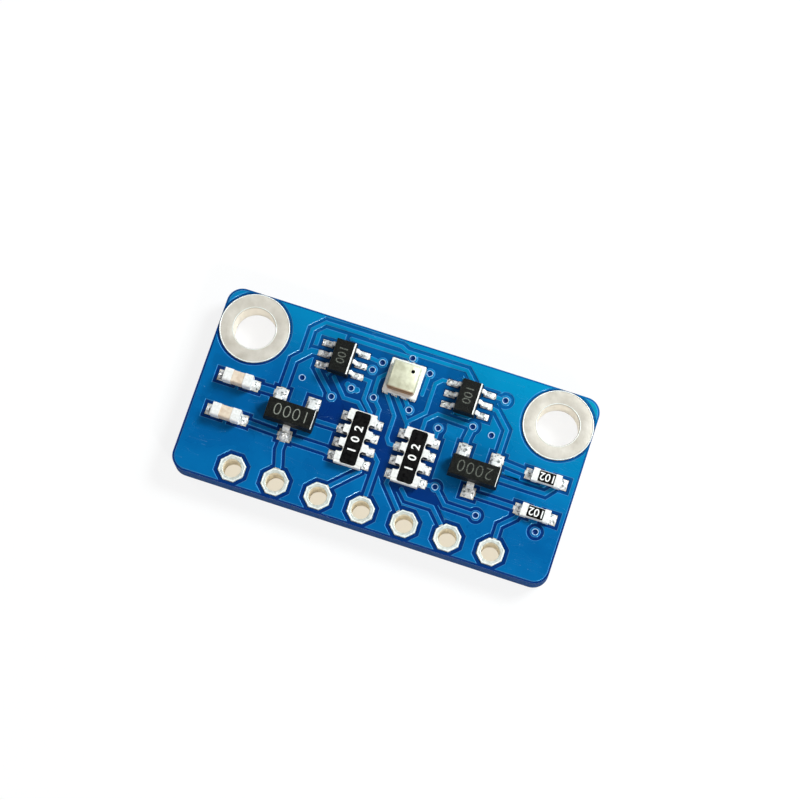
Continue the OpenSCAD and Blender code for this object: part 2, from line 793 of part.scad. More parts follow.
module sot_solder(at) {
    color("#e2e2de")
        placed(at, 90)
            difference() {
                joints(sot_leads, sot_pad,
                       [sot_pad[0] + HEEL_RUN, sot_span / 2 + TOE_RUN],
                       sot_pad_w, sot_lead_w * 1.15, seat_t + lead_t * SOLDER_RISE);
                sot_lead_shapes();
            }
}

// Outline of an array's ceramic, with a scalloped notch between each two terminals
module array_outline() {
    notch = [2 * notch_depth, array_pitch - terminal_w];
    difference() {
        square([array_w, array_l], center = true);
        for (side = [-1, 1], k = [0:ARRAY_WAYS - 2])
            translate([side * array_w / 2, (k - (ARRAY_WAYS - 2) / 2) * array_pitch])
                rounded_rect(notch, min(notch) * notch_round);
    }
}

// Where the terminals' inner ends lie, clear of the overcoat
terminal_in = overcoat_w / 2 + COAT_GAP;

// Wrap-round terminals of an array: a C of plating on top, side and underside of the ceramic
module array_terminal_shapes() {
    for (p = array_terminals)
        translate([0, p[1], seat_t])
            mirror([p[0] < 0 ? 1 : 0, 0, 0])
                along_y(terminal_w)
                    difference() {
                        translate([terminal_in, 0])
                            square([array_w / 2 + cap_t - terminal_in, array_h + 2 * cap_t]);
                        translate([0, cap_t])
                            square([array_w / 2, array_h]);
                    }
}

module array_ceramic(at) {
    color("#ece9e2")
        placed(at)
            translate([0, 0, seat_t + cap_t])
                linear_extrude(array_h)
                    array_outline();
}

module array_overcoat(at) {
    color("#161616")
        placed(at)
            translate([0, 0, seat_t + cap_t + array_h])
                linear_extrude(overcoat_t)
                    square([overcoat_w, array_l - 2 * OVERCOAT_BACK], center = true);
}

module array_terminal_set(at) {
    color("#d9d9d4")
        placed(at)
            array_terminal_shapes();
}

module array_solder(at) {
    edge = array_w / 2 + cap_t;
    color("#e2e2de")
        placed(at)
            difference() {
                joints(array_terminals, array_pad,
                       [array_pad[0] + INNER_RUN, edge + FILLET_TOP],
                       array_pad_w, terminal_w, seat_t + array_h * 0.7);
                translate([0, 0, seat_t])
                    linear_extrude(PAST)
                        square([2 * edge, array_l + 1], center = true);
            }
}

// Block with its long edges rounded, lying along X
module rounded_bar(l, w, h, r) {
    translate([0, 0, h / 2])
        along_x(l)
            rounded_rect([w, h], r);
}

// End caps that wrap a chip of height h; the chip fills them
module chip_cap_shapes(h, cap_l, r) {
    difference() {
        for (side = [-1, 1])
            translate([side * (chip_l / 2 + cap_t - (cap_l + cap_t) / 2), 0, seat_t])
                rounded_bar(cap_l + cap_t, chip_w + 2 * cap_t, h + 2 * cap_t, r + cap_t);
        translate([0, 0, seat_t + cap_t])
            rounded_bar(chip_l, chip_w, h, r);
    }
}

module chip_solder(at, reach, h) {
    edge = chip_l / 2 + cap_t;
    color("#e2e2de")
        placed(at)
            difference() {
                joints(CHIP_ENDS, reach, [reach[0] + INNER_RUN, edge + FILLET_TOP],
                       chip_pad_w, chip_pad_w * 0.9, seat_t + h);
                translate([0, 0, seat_t])
                    linear_extrude(PAST)
                        square([2 * edge, chip_w + 1], center = true);
            }
}

// Radius of a chip resistor's and of a chip capacitor's long edges
resistor_edge_r = 0.03;
capacitor_edge_r = 0.1;

module resistor_ceramic(at) {
    color("#ece9e2")
        placed(at)
            translate([0, 0, seat_t + cap_t])
                rounded_bar(chip_l, chip_w, resistor_h, resistor_edge_r);
}

module resistor_overcoat(at) {
    color("#161616")
        placed(at)
            translate([0, 0, seat_t + cap_t + resistor_h])
                linear_extrude(overcoat_t)
                    square([chip_l - 2 * (resistor_cap_l + COAT_GAP),
                            chip_w - 2 * resistor_edge_r], center = true);
}

module resistor_caps(at) {
    color("#d9d9d4")
        placed(at)
            chip_cap_shapes(resistor_h, resistor_cap_l, resistor_edge_r);
}

module capacitor_ceramic(at) {
    color("#cbb296")
        placed(at)
            translate([0, 0, seat_t + cap_t])
                rounded_bar(chip_l, chip_w, capacitor_h, capacitor_edge_r);
}

module capacitor_caps(at) {
    color("#d9d9d4")
        placed(at)
            chip_cap_shapes(capacitor_h, capacitor_cap_l, capacitor_edge_r);
}

// Height of the sensor's substrate above its copper pads
sensor_seat = mask_t + 0.02;
// The signal chip lies on the substrate, and the pressure die on the chip
signal_chip_size = [1.1, 1.1, 0.14];
die_w = 0.8;
die_t = 0.22;
// Width and depth of the hollow under the pressure die's membrane
die_hollow = [die_w * 0.5, die_t * 0.7];

module sensor_substrate() {
    color("#e9e7e0")
        placed(sensor)
            translate([0, 0, sensor_seat])
                linear_extrude(substrate_t)
                    rounded_rect([sensor_w, sensor_w], 0.06);
}

// Block with every upper and standing edge rounded
module domed_block(w, h, r) {
    intersection() {
        linear_extrude(h)
            rounded_rect([w, w], r);
        along_y(w)
            translate([0, h / 2 - r])
                rounded_rect([w, h + 2 * r], r);
        along_x(w)
            translate([0, h / 2 - r])
                rounded_rect([w, h + 2 * r], r);
    }
}

module sensor_lid() {
    color("#cfc6b2")
        placed(sensor)
            translate([0, 0, sensor_seat + substrate_t])
                difference() {
                    domed_block(lid_w, lid_h, lid_r);
                    domed_block(lid_w - 2 * lid_wall, lid_h - lid_wall, lid_r - lid_wall);
                    translate([vent_offset, vent_offset, 0])
                        cylinder(d = vent_d, h = PAST);
                }
}

module signal_chip() {
    color("#5b6068")
        placed(sensor)
            translate([0, 0, sensor_seat + substrate_t])
                linear_extrude(signal_chip_size[2])
                    square([signal_chip_size[0], signal_chip_size[1]], center = true);
}

module pressure_die() {
    color("#8c9098")
        placed(sensor)
            translate([0, 0, sensor_seat + substrate_t + signal_chip_size[2]])
                difference() {
                    linear_extrude(die_t)
                        square([die_w, die_w], center = true);
                    translate([0, 0, -EPS])
                        linear_extrude(die_hollow[1] + EPS)
                            square([die_hollow[0], die_hollow[0]], center = true);
                }
}

module sensor_solder() {
    color("#e2e2de")
        placed(sensor, 90)
            for (p = sensor_pads)
                translate([p[0] * (sensor_pad[0] + sensor_pad[1]) / 2, p[1], 0])
                    linear_extrude(sensor_seat)
                        square([sensor_pad[1] - sensor_pad[0], sensor_pad_w], center = true);
}

board_laminate();
copper_top();
copper_bottom();
solder_mask_top();
solder_mask_bottom();
mounting_ring(-1);  // mounting_ring_left
mounting_ring(1);  // mounting_ring_right
for (i = [1:HEADER_COUNT])
    header_pad(i);
via_barrels();
sensor_substrate();
sensor_lid();
pressure_die();
signal_chip();
sensor_solder();
shifter_body(shifter_left);  // shifter_left_body
shifter_lead_set(shifter_left);  // shifter_left_leads
shifter_solder(shifter_left);  // shifter_left_solder
shifter_body(shifter_right);  // shifter_right_body
shifter_lead_set(shifter_right);  // shifter_right_leads
shifter_solder(shifter_right);  // shifter_right_solder
sot_body(regulator);  // regulator_body
sot_lead_set(regulator);  // regulator_leads
sot_solder(regulator);  // regulator_solder
sot_body(transistor);  // transistor_body
sot_lead_set(transistor);  // transistor_leads
sot_solder(transistor);  // transistor_solder
array_ceramic(array_left);  // array_left_ceramic
array_overcoat(array_left);  // array_left_overcoat
array_terminal_set(array_left);  // array_left_terminals
array_solder(array_left);  // array_left_solder
array_ceramic(array_right);  // array_right_ceramic
array_overcoat(array_right);  // array_right_overcoat
array_terminal_set(array_right);  // array_right_terminals
array_solder(array_right);  // array_right_solder
resistor_ceramic(resistor_upper);  // resistor_upper_ceramic
resistor_overcoat(resistor_upper);  // resistor_upper_overcoat
resistor_caps(resistor_upper);  // resistor_upper_caps
chip_solder(resistor_upper, resistor_pad, resistor_h * 0.7);  // resistor_upper_solder
resistor_ceramic(resistor_lower);  // resistor_lower_ceramic
resistor_overcoat(resistor_lower);  // resistor_lower_overcoat
resistor_caps(resistor_lower);  // resistor_lower_caps
chip_solder(resistor_lower, resistor_pad, resistor_h * 0.7);  // resistor_lower_solder
capacitor_ceramic(capacitor_upper);  // capacitor_upper_ceramic
capacitor_caps(capacitor_upper);  // capacitor_upper_caps
chip_solder(capacitor_upper, capacitor_pad, capacitor_h * 0.45);  // capacitor_upper_solder
capacitor_ceramic(capacitor_lower);  // capacitor_lower_ceramic
capacitor_caps(capacitor_lower);  // capacitor_lower_caps
chip_solder(capacitor_lower, capacitor_pad, capacitor_h * 0.45);  // capacitor_lower_solder
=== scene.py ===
# %% [markdown]
# # A pressure sensor module
#
# This is a small blue circuit board with a metal-lidded pressure sensor in the middle. The exact
# solids, at their real size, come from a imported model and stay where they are: this script only
# gives them their looks. Parts of the board are about a millimetre wide, so every soft edge,
# every bead of solder and every step in the lacquer counts in a close view.
#
# The script runs from top to bottom like a notebook. Each step says what the real piece is, how
# it could be made in Blender, and why this way was chosen.

# %% Load the fixed model
from math import copysign, cos, hypot, pi, radians, sin, sqrt, tan

import bmesh
import bpy
from mathutils import Matrix, Vector


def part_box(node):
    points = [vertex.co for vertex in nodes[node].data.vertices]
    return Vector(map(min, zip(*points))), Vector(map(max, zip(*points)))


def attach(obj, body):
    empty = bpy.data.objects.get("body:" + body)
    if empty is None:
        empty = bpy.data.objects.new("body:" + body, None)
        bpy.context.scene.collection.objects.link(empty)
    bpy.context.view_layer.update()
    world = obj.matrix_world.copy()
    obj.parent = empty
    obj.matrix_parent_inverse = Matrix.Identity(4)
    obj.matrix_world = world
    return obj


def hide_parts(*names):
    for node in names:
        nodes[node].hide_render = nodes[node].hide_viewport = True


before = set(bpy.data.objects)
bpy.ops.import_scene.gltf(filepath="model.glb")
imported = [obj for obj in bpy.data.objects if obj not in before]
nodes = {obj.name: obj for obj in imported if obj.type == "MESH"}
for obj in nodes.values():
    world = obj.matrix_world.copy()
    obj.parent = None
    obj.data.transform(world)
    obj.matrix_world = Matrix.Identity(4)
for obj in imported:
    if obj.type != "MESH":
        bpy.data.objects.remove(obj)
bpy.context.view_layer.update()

MM = 0.001

# %% [markdown]
# ## Heights to build from
#
# A circuit board is a stack: laminate, copper foil, lacquer (the solder mask) and tin. The films
# are only 25 to 35 thousandths of a millimetre thick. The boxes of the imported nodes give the
# heights and places, so the looks sit on the solids.

# %% Boxes in millimetres
def box(node):
    """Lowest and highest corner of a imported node, in millimetres."""
    low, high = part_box(node)
    return low / MM, high / MM


def middle(pair):
    return (pair[0] + pair[1]) / 2


BOARD = box("board_laminate")
MID_Z = middle(BOARD).z
TOP_Z = BOARD[1].z
PAD_Z = box("copper_top")[1].z
FILM_Z = box("solder_mask_top")[1].z
FOIL_T = PAD_Z - TOP_Z
FILM_T = FILM_Z - PAD_Z
print("laminate top %.3f, pads %.3f, lacquer %.3f" % (TOP_Z, PAD_Z, FILM_Z))

# %% [markdown]
# ## Helpers for node trees
#
# Materials, the world and the geometry trees are all made of nodes. The inputs of a node are given
# in one go: a plain value is set, and another node is linked by its first output, or by the output
# that is named. Short functions stand for the nodes that come back most often.

# %% Helpers: nodes
def set_inputs(tree, node, inputs):
    """Sets plain values and links the rest; a node stands for its first output."""
    for name, value in inputs.items():
        if isinstance(value, bpy.types.Node):
            value = value.outputs[0]
        if isinstance(value, bpy.types.NodeSocket):
            tree.links.new(value, node.inputs[name])
        else:
            node.inputs[name].default_value = value


def add_node(tree, kind, inputs=None, **settings):
    """New node in a tree, with its settings and inputs."""
    node = tree.nodes.new(kind)
    for name, value in settings.items():
        setattr(node, name, value)
    set_inputs(tree, node, inputs or {})
    return node


def calc(tree, operation, *values, **settings):
    return add_node(tree, "ShaderNodeMath", dict(enumerate(values)), operation=operation,
                    **settings)


def vector_calc(tree, operation, *values):
    node = add_node(tree, "ShaderNodeVectorMath", dict(enumerate(values)), operation=operation)
    return node.outputs["Value" if operation == "DOT_PRODUCT" else "Vector"]


def scaled(tree, vector, factor):
    return add_node(tree, "ShaderNodeVectorMath", {0: vector, "Scale": factor},
                    operation="SCALE")


def ranged(tree, mask, low, high, from_low=0.0, from_high=1.0):
    """A mask stretched from one range of values to another."""
    return add_node(tree, "ShaderNodeMapRange", {
        "Value": mask, "From Min": from_low, "From Max": from_high,
        "To Min": low, "To Max": high})


def linear(colour):
    """Blender's linear values of a colour that is given as red, green and blue, 0 to 255."""
    shares = [value / 255 for value in colour]
    return [s / 12.92 if s <= 0.04045 else ((s + 0.055) / 1.055) ** 2.4 for s in shares] + [1.0]


def mixed(tree, mask, *colours):
    """Mix of two colours by a mask; a colour may be the output of another node."""
    first, second = [colour if isinstance(colour, bpy.types.NodeSocket) else linear(colour)
                     for colour in colours]
    return add_node(tree, "ShaderNodeMix", {0: mask, 6: first, 7: second},
                    data_type="RGBA").outputs[2]


def millimetres(tree):
    """Object coordinates in millimetres."""
    return scaled(tree, add_node(tree, "ShaderNodeTexCoord").outputs["Object"], 1 / MM)


RESULTS = {"Geometry": ("Geometry", "Geometry"), "Shader": ("Mask", "Float")}


def new_tree(kind, name, inputs):
    """Geometry tree, or shader group that gives a mask.

    Each input is a number, or else the name of its kind.
    """
    tree = bpy.data.node_groups.new(name, kind + "NodeTree")
    for label, value in inputs.items():
        own = value if isinstance(value, str) else "Float"
        socket = tree.interface.new_socket(label, in_out="INPUT", socket_type="NodeSocket" + own)
        if own == "Float":
            socket.default_value = value
    label, own = RESULTS[kind]
    tree.interface.new_socket(label, in_out="OUTPUT", socket_type="NodeSocket" + own)
    return tree, tree.nodes.new("NodeGroupInput").outputs, tree.nodes.new("NodeGroupOutput")


# %% [markdown]
# ## The camera
#
# The view was found by fitting the seven header holes and the board's corners. It is a long lens
# almost straight above the board. A camera looks along its own -Z, with +Y up in the picture, so
# three perpendicular directions are enough to aim it. The same helper aims the lamps later.

# %% Camera
CAMERA_PLACE = Vector((10.35, -27.05, 133.67))
CAMERA_AIM = Vector((0.12, 2.10, 1.60))
CAMERA_ROLL = radians(1.12)
CAMERA_LENS = 108
SENSOR_WIDTH = 36


def aimed(place, aim, roll=0.0):
    """Matrix of a camera or lamp at place, in millimetres, that looks at aim."""
    forward = (aim - place).normalized()
    level_up = (Vector((0, 0, 1)) - forward * forward.z).normalized()
    level_right = forward.cross(level_up)
    up = level_up * cos(roll) + level_right * sin(roll)
    matrix = Matrix((forward.cross(up), up, -forward)).transposed().to_4x4()
    matrix.translation = place * MM
    return matrix


def new_object(name, data):
    made = bpy.data.objects.new(name, data)
    scene.collection.objects.link(made)
    return made


scene = bpy.context.scene
lens = bpy.data.cameras.new("portrait")
lens.lens = CAMERA_LENS
lens.sensor_width = SENSOR_WIDTH
lens.clip_start = 0.001
scene.camera = new_object("portrait", lens)
scene.camera.matrix_world = aimed(CAMERA_PLACE, CAMERA_AIM, CAMERA_ROLL)
scene.view_settings.view_transform = "Standard"

# %% [markdown]
# ## Floor, background and lamps
#
# Small parts are photographed on white paper under soft light. White paper that is lit brightly
# would also bleach the object, so the paper is partly self-lit, and only for rays that come from
# the camera, from a reflection or through glass. Its plain part still takes the board's shadow.
#
# A strip of cream paper lies under the row of header holes. The table under the real board was
# warmer than white, and the holes are where it still shows; the strip is also darker than the
# paper, a painted shade for the board's shadow there.
#
# The lamps are far away, and the main one is large, which keeps shadows soft. An area lamp's power
# is spread over its surface, so a wanted brightness is turned into watts with its area.

# %% Paper that is white for the camera
PAPER_SELF_LIT = 0.84
PAPER_HALF = 900
PAPER_Z = -0.03
STRIP_RISE = 0.01
STRIP_MARGIN = 0.4
WHITE = (1, 1, 1, 1)
SHADED_CREAM = (0.9, 0.82, 0.66, 1)


def seen_directly(tree):
    """1 for rays from the camera, a reflection or clear glass, and 0 for light that scatters."""
    path = add_node(tree, "ShaderNodeLightPath")
    total = path.outputs["Is Camera Ray"]
    for name in ("Is Glossy Ray", "Is Transmission Ray"):
        total = calc(tree, "ADD", total, path.outputs[name], use_clamp=True)
    return total


def paper_material(name, colour):
    material = bpy.data.materials.new(name)
    material.use_nodes = True
    tree = material.node_tree
    tree.nodes.clear()
    plain = add_node(tree, "ShaderNodeBsdfDiffuse", {"Color": colour})
    glow = add_node(tree, "ShaderNodeEmission", {"Color": colour, "Strength": 1.0})
    share = calc(tree, "MULTIPLY", seen_directly(tree), PAPER_SELF_LIT)
    mix = add_node(tree, "ShaderNodeMixShader", {0: share, 1: plain, 2: glow})
    add_node(tree, "ShaderNodeOutputMaterial", {"Surface": mix})
    return material


def mesh_from(name, points, faces=()):
    """Mesh of points in millimetres, and of faces."""
    mesh = bpy.data.meshes.new(name)
    mesh.from_pydata([Vector(point) * MM for point in points], [], faces)
    return mesh


def sheet(name, low, high, height, colour):
    """Flat sheet of paper between two corners (x, y), in millimetres."""
    corners = [(low[0], low[1]), (high[0], low[1]), (high[0], high[1]), (low[0], high[1])]
    mesh = mesh_from(name, [(x, y, height) for x, y in corners], [(0, 1, 2, 3)])
    mesh.materials.append(paper_material(name, colour))
    made = new_object(name, mesh)


sheet("paper", (-PAPER_HALF, -PAPER_HALF), (PAPER_HALF, PAPER_HALF), PAPER_Z, WHITE)
row_start, row_end = box("header_pad_1")[0], box("header_pad_7")[1]
# The strip is partly the table's own warmer colour and partly painted shade under the board.
sheet("cream_strip", row_start, (row_end.x, row_end.y + STRIP_MARGIN), PAPER_Z + STRIP_RISE,
      SHADED_CREAM)

# %% World: pale walls and a dimmer ceiling
WALLS, WALL_HEIGHT = 0.3, 0.1
CEILING, CEILING_HEIGHT = 0.15, 0.6

world = bpy.data.worlds.new("studio")
scene.world = world
world.use_nodes = True
room = world.node_tree
room.nodes.clear()
direction = add_node(room, "ShaderNodeTexCoord").outputs["Generated"]
height = add_node(room, "ShaderNodeSeparateXYZ", {0: direction}).outputs["Z"]
glow = add_node(room, "ShaderNodeBackground", {
    "Color": WHITE,
    "Strength": ranged(room, height, WALLS, CEILING, WALL_HEIGHT, CEILING_HEIGHT)})
add_node(room, "ShaderNodeOutputWorld", {"Surface": glow})


# %% Lamps
def softbox(name, place, size, brightness, colour):
    """Area lamp aimed at the board, in millimetres; brightness 1 looks like white paper."""
    lamp = bpy.data.lights.new(name, "AREA")
    lamp.shape = "RECTANGLE"
    lamp.size, lamp.size_y = size[0] * MM, size[1] * MM
    lamp.color = colour
    lamp.energy = brightness * pi * lamp.size * lamp.size_y
    new_object(name, lamp).matrix_world = aimed(Vector(place), Vector((0, 0, TOP_Z)))


softbox("window", (120, 125, 165), (80, 76), 31.0, (0.91, 0.98, 1))
softbox("glint", (165, -140, 150), (18, 18), 200.0, (1, 0.99, 0.97))
softbox("left_glint", (-170, 60, 130), (12, 12), 130.0, (1, 1, 1))
softbox("right_fill", (230, 60, 70), (90, 60), 3.0, (1, 0.97, 0.93))
softbox("front_fill", (-40, -190, 80), (120, 60), 2.6, (1, 0.98, 0.95))

# %% [markdown]
# ## Shader groups that several finishes share
#
# No real surface is one even colour. Tin is mottled, lacquer has an orange-peel skin, moulded
# plastic is grainy. All of that is noise at different scales, so one group does it and gives a
# mask from 0 to 1, and every material places it with its own numbers. A second group scatters fine
# specks and hair scratches, the marks of handling. The groups give only masks: the shader itself
# stays in each material, where an exporter can find it.

# %% Group: grain
def grain_group():
    tree, given, out = new_tree("Shader", "Grain", {
        "Scale": 10, "Detail": 3, "Low": 0.35, "High": 0.65, "Shift": 0})
    cloud = add_node(tree, "ShaderNodeTexNoise", {
        "Vector": millimetres(tree), "W": given["Shift"], "Scale": given["Scale"],
        "Detail": given["Detail"]}, noise_dimensions="4D")
    mask = ranged(tree, cloud, 0, 1, given["Low"], given["High"])
    set_inputs(tree, out, {"Mask": mask})
    return tree


GRAIN = grain_group()

# %% Group: handling marks
SCRATCH_TURN = (0, 0, radians(35))
SCRATCH_STRETCH = (0.25, 2.0, 1.0)
SCRATCH_LEVEL = 0.62


def marks_group():
    """Specks are the middles of sparse cells; scratches are thin bands of stretched noise."""
    tree, given, out = new_tree("Shader", "Handling marks", {
        "Speck density": 1.2, "Speck size": 0.05, "Scratch width": 0.01})
    place = millimetres(tree)
    cells = add_node(tree, "ShaderNodeTexVoronoi",
                     {"Vector": place, "Scale": given["Speck density"]})
    specks = calc(tree, "LESS_THAN", cells.outputs["Distance"], given["Speck size"])
    stretched = add_node(tree, "ShaderNodeMapping", {
        "Vector": place, "Rotation": SCRATCH_TURN, "Scale": SCRATCH_STRETCH})
    streaks = add_node(tree, "ShaderNodeTexNoise", {
        "Vector": stretched, "Scale": 1.3, "Detail": 1.0})
    distance = calc(tree, "ABSOLUTE", calc(tree, "SUBTRACT", streaks, SCRATCH_LEVEL))
    scratches = calc(tree, "LESS_THAN", distance, given["Scratch width"])
    set_inputs(tree, out, {"Mask": calc(tree, "MAXIMUM", specks, scratches)})
    return tree


MARKS = marks_group()

# %% [markdown]
# ## A recipe for a finish
#
# Most finishes differ only in their two colours, in how metallic and how glossy they are, and in
# how coarse their grain is. One function holds the recipe: a broad grain mixes the two colours and
# moves the roughness, and a fine grain gives relief through a Bump node. A special finish, such as
# the lacquer, adds its own nodes afterwards.

# %% Finish recipe
SKIN_GRAIN = {"detail": 2.0, "low": 0.2, "high": 0.8, "shift": 5.0}
COAT_ROUGH = 0.1


def grain(tree, scale, detail, low, high, shift=0.0):
    return add_node(tree, "ShaderNodeGroup", {
        "Scale": scale, "Detail": detail, "Low": low, "High": high, "Shift": shift},
        node_tree=GRAIN)


def bumped(tree, height, distance):
    """Bump node; distance is in millimetres."""
    return add_node(tree, "ShaderNodeBump", {
        "Strength": 1.0, "Distance": distance * MM, "Height": height})


def finish(name, dark, light, rough, metallic=0.0, broad=2.0, fine=25.0, relief=0.002,
           coat=0.0, specular=0.5, detail=4.0, contrast=(0.38, 0.62)):
    """Principled material; broad and fine are grains per millimetre, relief is in millimetres."""
    material = bpy.data.materials.new(name)
    material.use_nodes = True
    tree = material.node_tree
    clouds = grain(tree, broad, detail, *contrast)
    skin = grain(tree, fine, **SKIN_GRAIN)
    set_inputs(tree, tree.nodes["Principled BSDF"], {
        "Metallic": metallic, "Coat Weight": coat, "Coat Roughness": COAT_ROUGH,
        "Specular IOR Level": specular, "Base Color": mixed(tree, clouds, dark, light),
        "Roughness": ranged(tree, clouds, *rough), "Normal": bumped(tree, skin, relief)})
    return material


def opened(material):
    """Node tree, main shader and present colour of a finish."""
    tree = material.node_tree
    shader = tree.nodes["Principled BSDF"]
    return tree, shader, shader.inputs["Base Color"].links[0].from_socket


def from_middle(tree):
    """Distance above or below the board's middle plane, in millimetres."""
    split = add_node(tree, "ShaderNodeSeparateXYZ", {0: millimetres(tree)})
    return calc(tree, "ABSOLUTE", calc(tree, "SUBTRACT", split.outputs["Z"], MID_Z))


def along(tree, direction):
    """Distance along a level direction, in millimetres."""
    return vector_calc(tree, "DOT_PRODUCT", millimetres(tree), direction)


def tinted(material, colour, none_at, full_at, direction=None):
    """Blends a colour into a finish between two distances, in millimetres.

    They are measured from the middle plane, or along a direction if one is given.
    """
    tree, shader, own = opened(material)
    distance = along(tree, direction) if direction else from_middle(tree)
    share = ranged(tree, distance, 0, 1, none_at, full_at)
    set_inputs(tree, shader, {"Base Color": mixed(tree, share, own, colour)})


def bellied(material, centre, curve):
    """Makes a flat top shade as if it rose a little toward its centre, like pressed metal."""
    tree, shader = opened(material)[:2]
    offset = vector_calc(tree, "SUBTRACT", millimetres(tree), centre)
    level = vector_calc(tree, "MULTIPLY", offset, (1, 1, 0))
    drop = calc(tree, "MULTIPLY", vector_calc(tree, "DOT_PRODUCT", level, level), -curve)
    skin = shader.inputs["Normal"].links[0].from_node
    set_inputs(tree, skin, {"Normal": bumped(tree, drop, 1.0)})


# %% [markdown]
# ## Lacquer
#
# The blue of the board is a thin, slightly clear lacquer. Over copper it looks lighter, because
# light comes back from the metal, and over bare laminate it looks deep and dark. The lacquer lies
# higher over copper, so the distance from the board's middle plane tells the two apart, on both
# faces at once. A painted reflection of the lamps' glare makes it lighter and greener toward the
# back edge, most at the back right corner, and a painted highlight runs along the crest of each
# copper edge. A gentle orange-peel relief breaks up the reflections.

# %% Lacquer finish
OVER_LAMINATE = (1, 42, 112)
OVER_COPPER = (0, 90, 153)
OVER_COPPER_PALE = (0, 102, 165)
# Painted highlight along the crest of each copper edge.
EDGE_HIGHLIGHT = (60, 142, 206)
# Painted reflection of the lamps' glare: lighter and greener toward the back edge, strongest at
# the back right corner.
GLARE_OVER_LAMINATE = (0, 100, 164)
GLARE_OVER_COPPER = (0, 142, 190)
GLARE_DIRECTION = (0.2, 0.98, 0.0)
GLARE_RANGE = (0.0, 7.0)
STRONGEST_GLARE = (0, 150, 158)
STRONGEST_GLARE_DIRECTION = (0.8, 0.6, 0.0)
STRONGEST_GLARE_RANGE = (10.0, 14.0)
GLOSS_TINT = (0.12, 0.7, 1.0, 1.0)
COLOUR_STEP = (0.6, 0.98)
CREST_RISE = (0.3, 0.6)
CREST_FALL = (0.7, 0.99)
MARK_COLOUR = (140, 190, 225)
MARK_STRENGTH = 0.22


def lacquer_finish():
    material = finish("lacquer", OVER_COPPER, OVER_COPPER_PALE, (0.24, 0.34), broad=0.35,
                      fine=6.0, coat=0.12)
    tree, shader, over_copper = opened(material)
    away = from_middle(tree)
    low = TOP_Z + FILM_T - MID_Z

    def climbing(shares, first=0, last=1):
        """Mask between two shares of the step up from laminate to copper."""
        return ranged(tree, away, first, last, *[low + FOIL_T * share for share in shares])

    # Painted reflection: the glare's share grows toward the back edge and the back right corner.
    glare_share = ranged(tree, along(tree, GLARE_DIRECTION), 0, 1, *GLARE_RANGE)
    corner = ranged(tree, along(tree, STRONGEST_GLARE_DIRECTION), 0, 1, *STRONGEST_GLARE_RANGE)
    over_copper = mixed(tree, glare_share, over_copper, GLARE_OVER_COPPER)
    over_copper = mixed(tree, corner, over_copper, STRONGEST_GLARE)
    over_laminate = mixed(tree, glare_share, OVER_LAMINATE, GLARE_OVER_LAMINATE)
    blue = mixed(tree, climbing(COLOUR_STEP), over_laminate, over_copper)
    # Painted highlight: a paler line along the crest of each copper edge.
    crest_highlight = calc(tree, "MULTIPLY", climbing(CREST_RISE), climbing(CREST_FALL, 1, 0))
    blue = mixed(tree, crest_highlight, blue, EDGE_HIGHLIGHT)
    marks = add_node(tree, "ShaderNodeGroup", {
        "Speck density": 0.9, "Speck size": 0.035, "Scratch width": 0.0012}, node_tree=MARKS)
    faint = ranged(tree, marks, 0, MARK_STRENGTH)
    set_inputs(tree, shader, {"Specular Tint": GLOSS_TINT,
                              "Base Color": mixed(tree, faint, blue, MARK_COLOUR)})
    return material


LACQUER = lacquer_finish()

# %% [markdown]
# ## Laminate
#
# The edge of the board shows the laminate: layers of woven glass in resin, cut by a router. Seen
# from the side they are fine level lines with pale fibre ends between them. A Wave texture along Z
# draws the layers, and the shared grain breaks them up.

# %% Laminate finish
LAYERS_PER_MM = 5.0
FIBRE = (24, 88, 146)
FIBRE_BAND = (0.55, 0.9)
FIBRE_STRENGTH = 0.4


def laminate_finish():
    material = finish("laminate", (2, 48, 98), (4, 62, 122), (0.6, 0.8), broad=14.0,
                      fine=40.0, relief=0.004, specular=0.05)
    tree, shader, resin = opened(material)
    layers = add_node(tree, "ShaderNodeTexWave", {
        "Vector": millimetres(tree), "Scale": LAYERS_PER_MM / 3, "Distortion": 1.2,
        "Detail": 2.0, "Detail Scale": 3.0}, wave_type="BANDS", bands_direction="Z")
    fibres = ranged(tree, layers.outputs["Fac"], 0, FIBRE_STRENGTH, *FIBRE_BAND)
    set_inputs(tree, shader, {"Base Color": mixed(tree, fibres, resin, FIBRE)})
    return material


LAMINATE = laminate_finish()

# %% [markdown]
# ## Metals, plastics and ceramics
#
# The rest follow the recipe. Tin that was levelled with hot air is soft and creamy, so it is only
# partly metallic; fresh solder is brighter and smoother. The moulded bodies are black epoxy with
# glass grit in it, which shows as a greenish-brown speckle.
#
# A few finishes change colour across the piece, all of it painted light: the tin is painted
# lighter and warmer inside the holes, a pad's rim is painted paler than its face as a highlight, a
# via plug's lip is painted pale and its dish dark, and the lid's front wall carries a painted
# brown reflection. Colours are given as a picture program shows them, 0 to 255, and the mixing
# helper turns them into linear values.

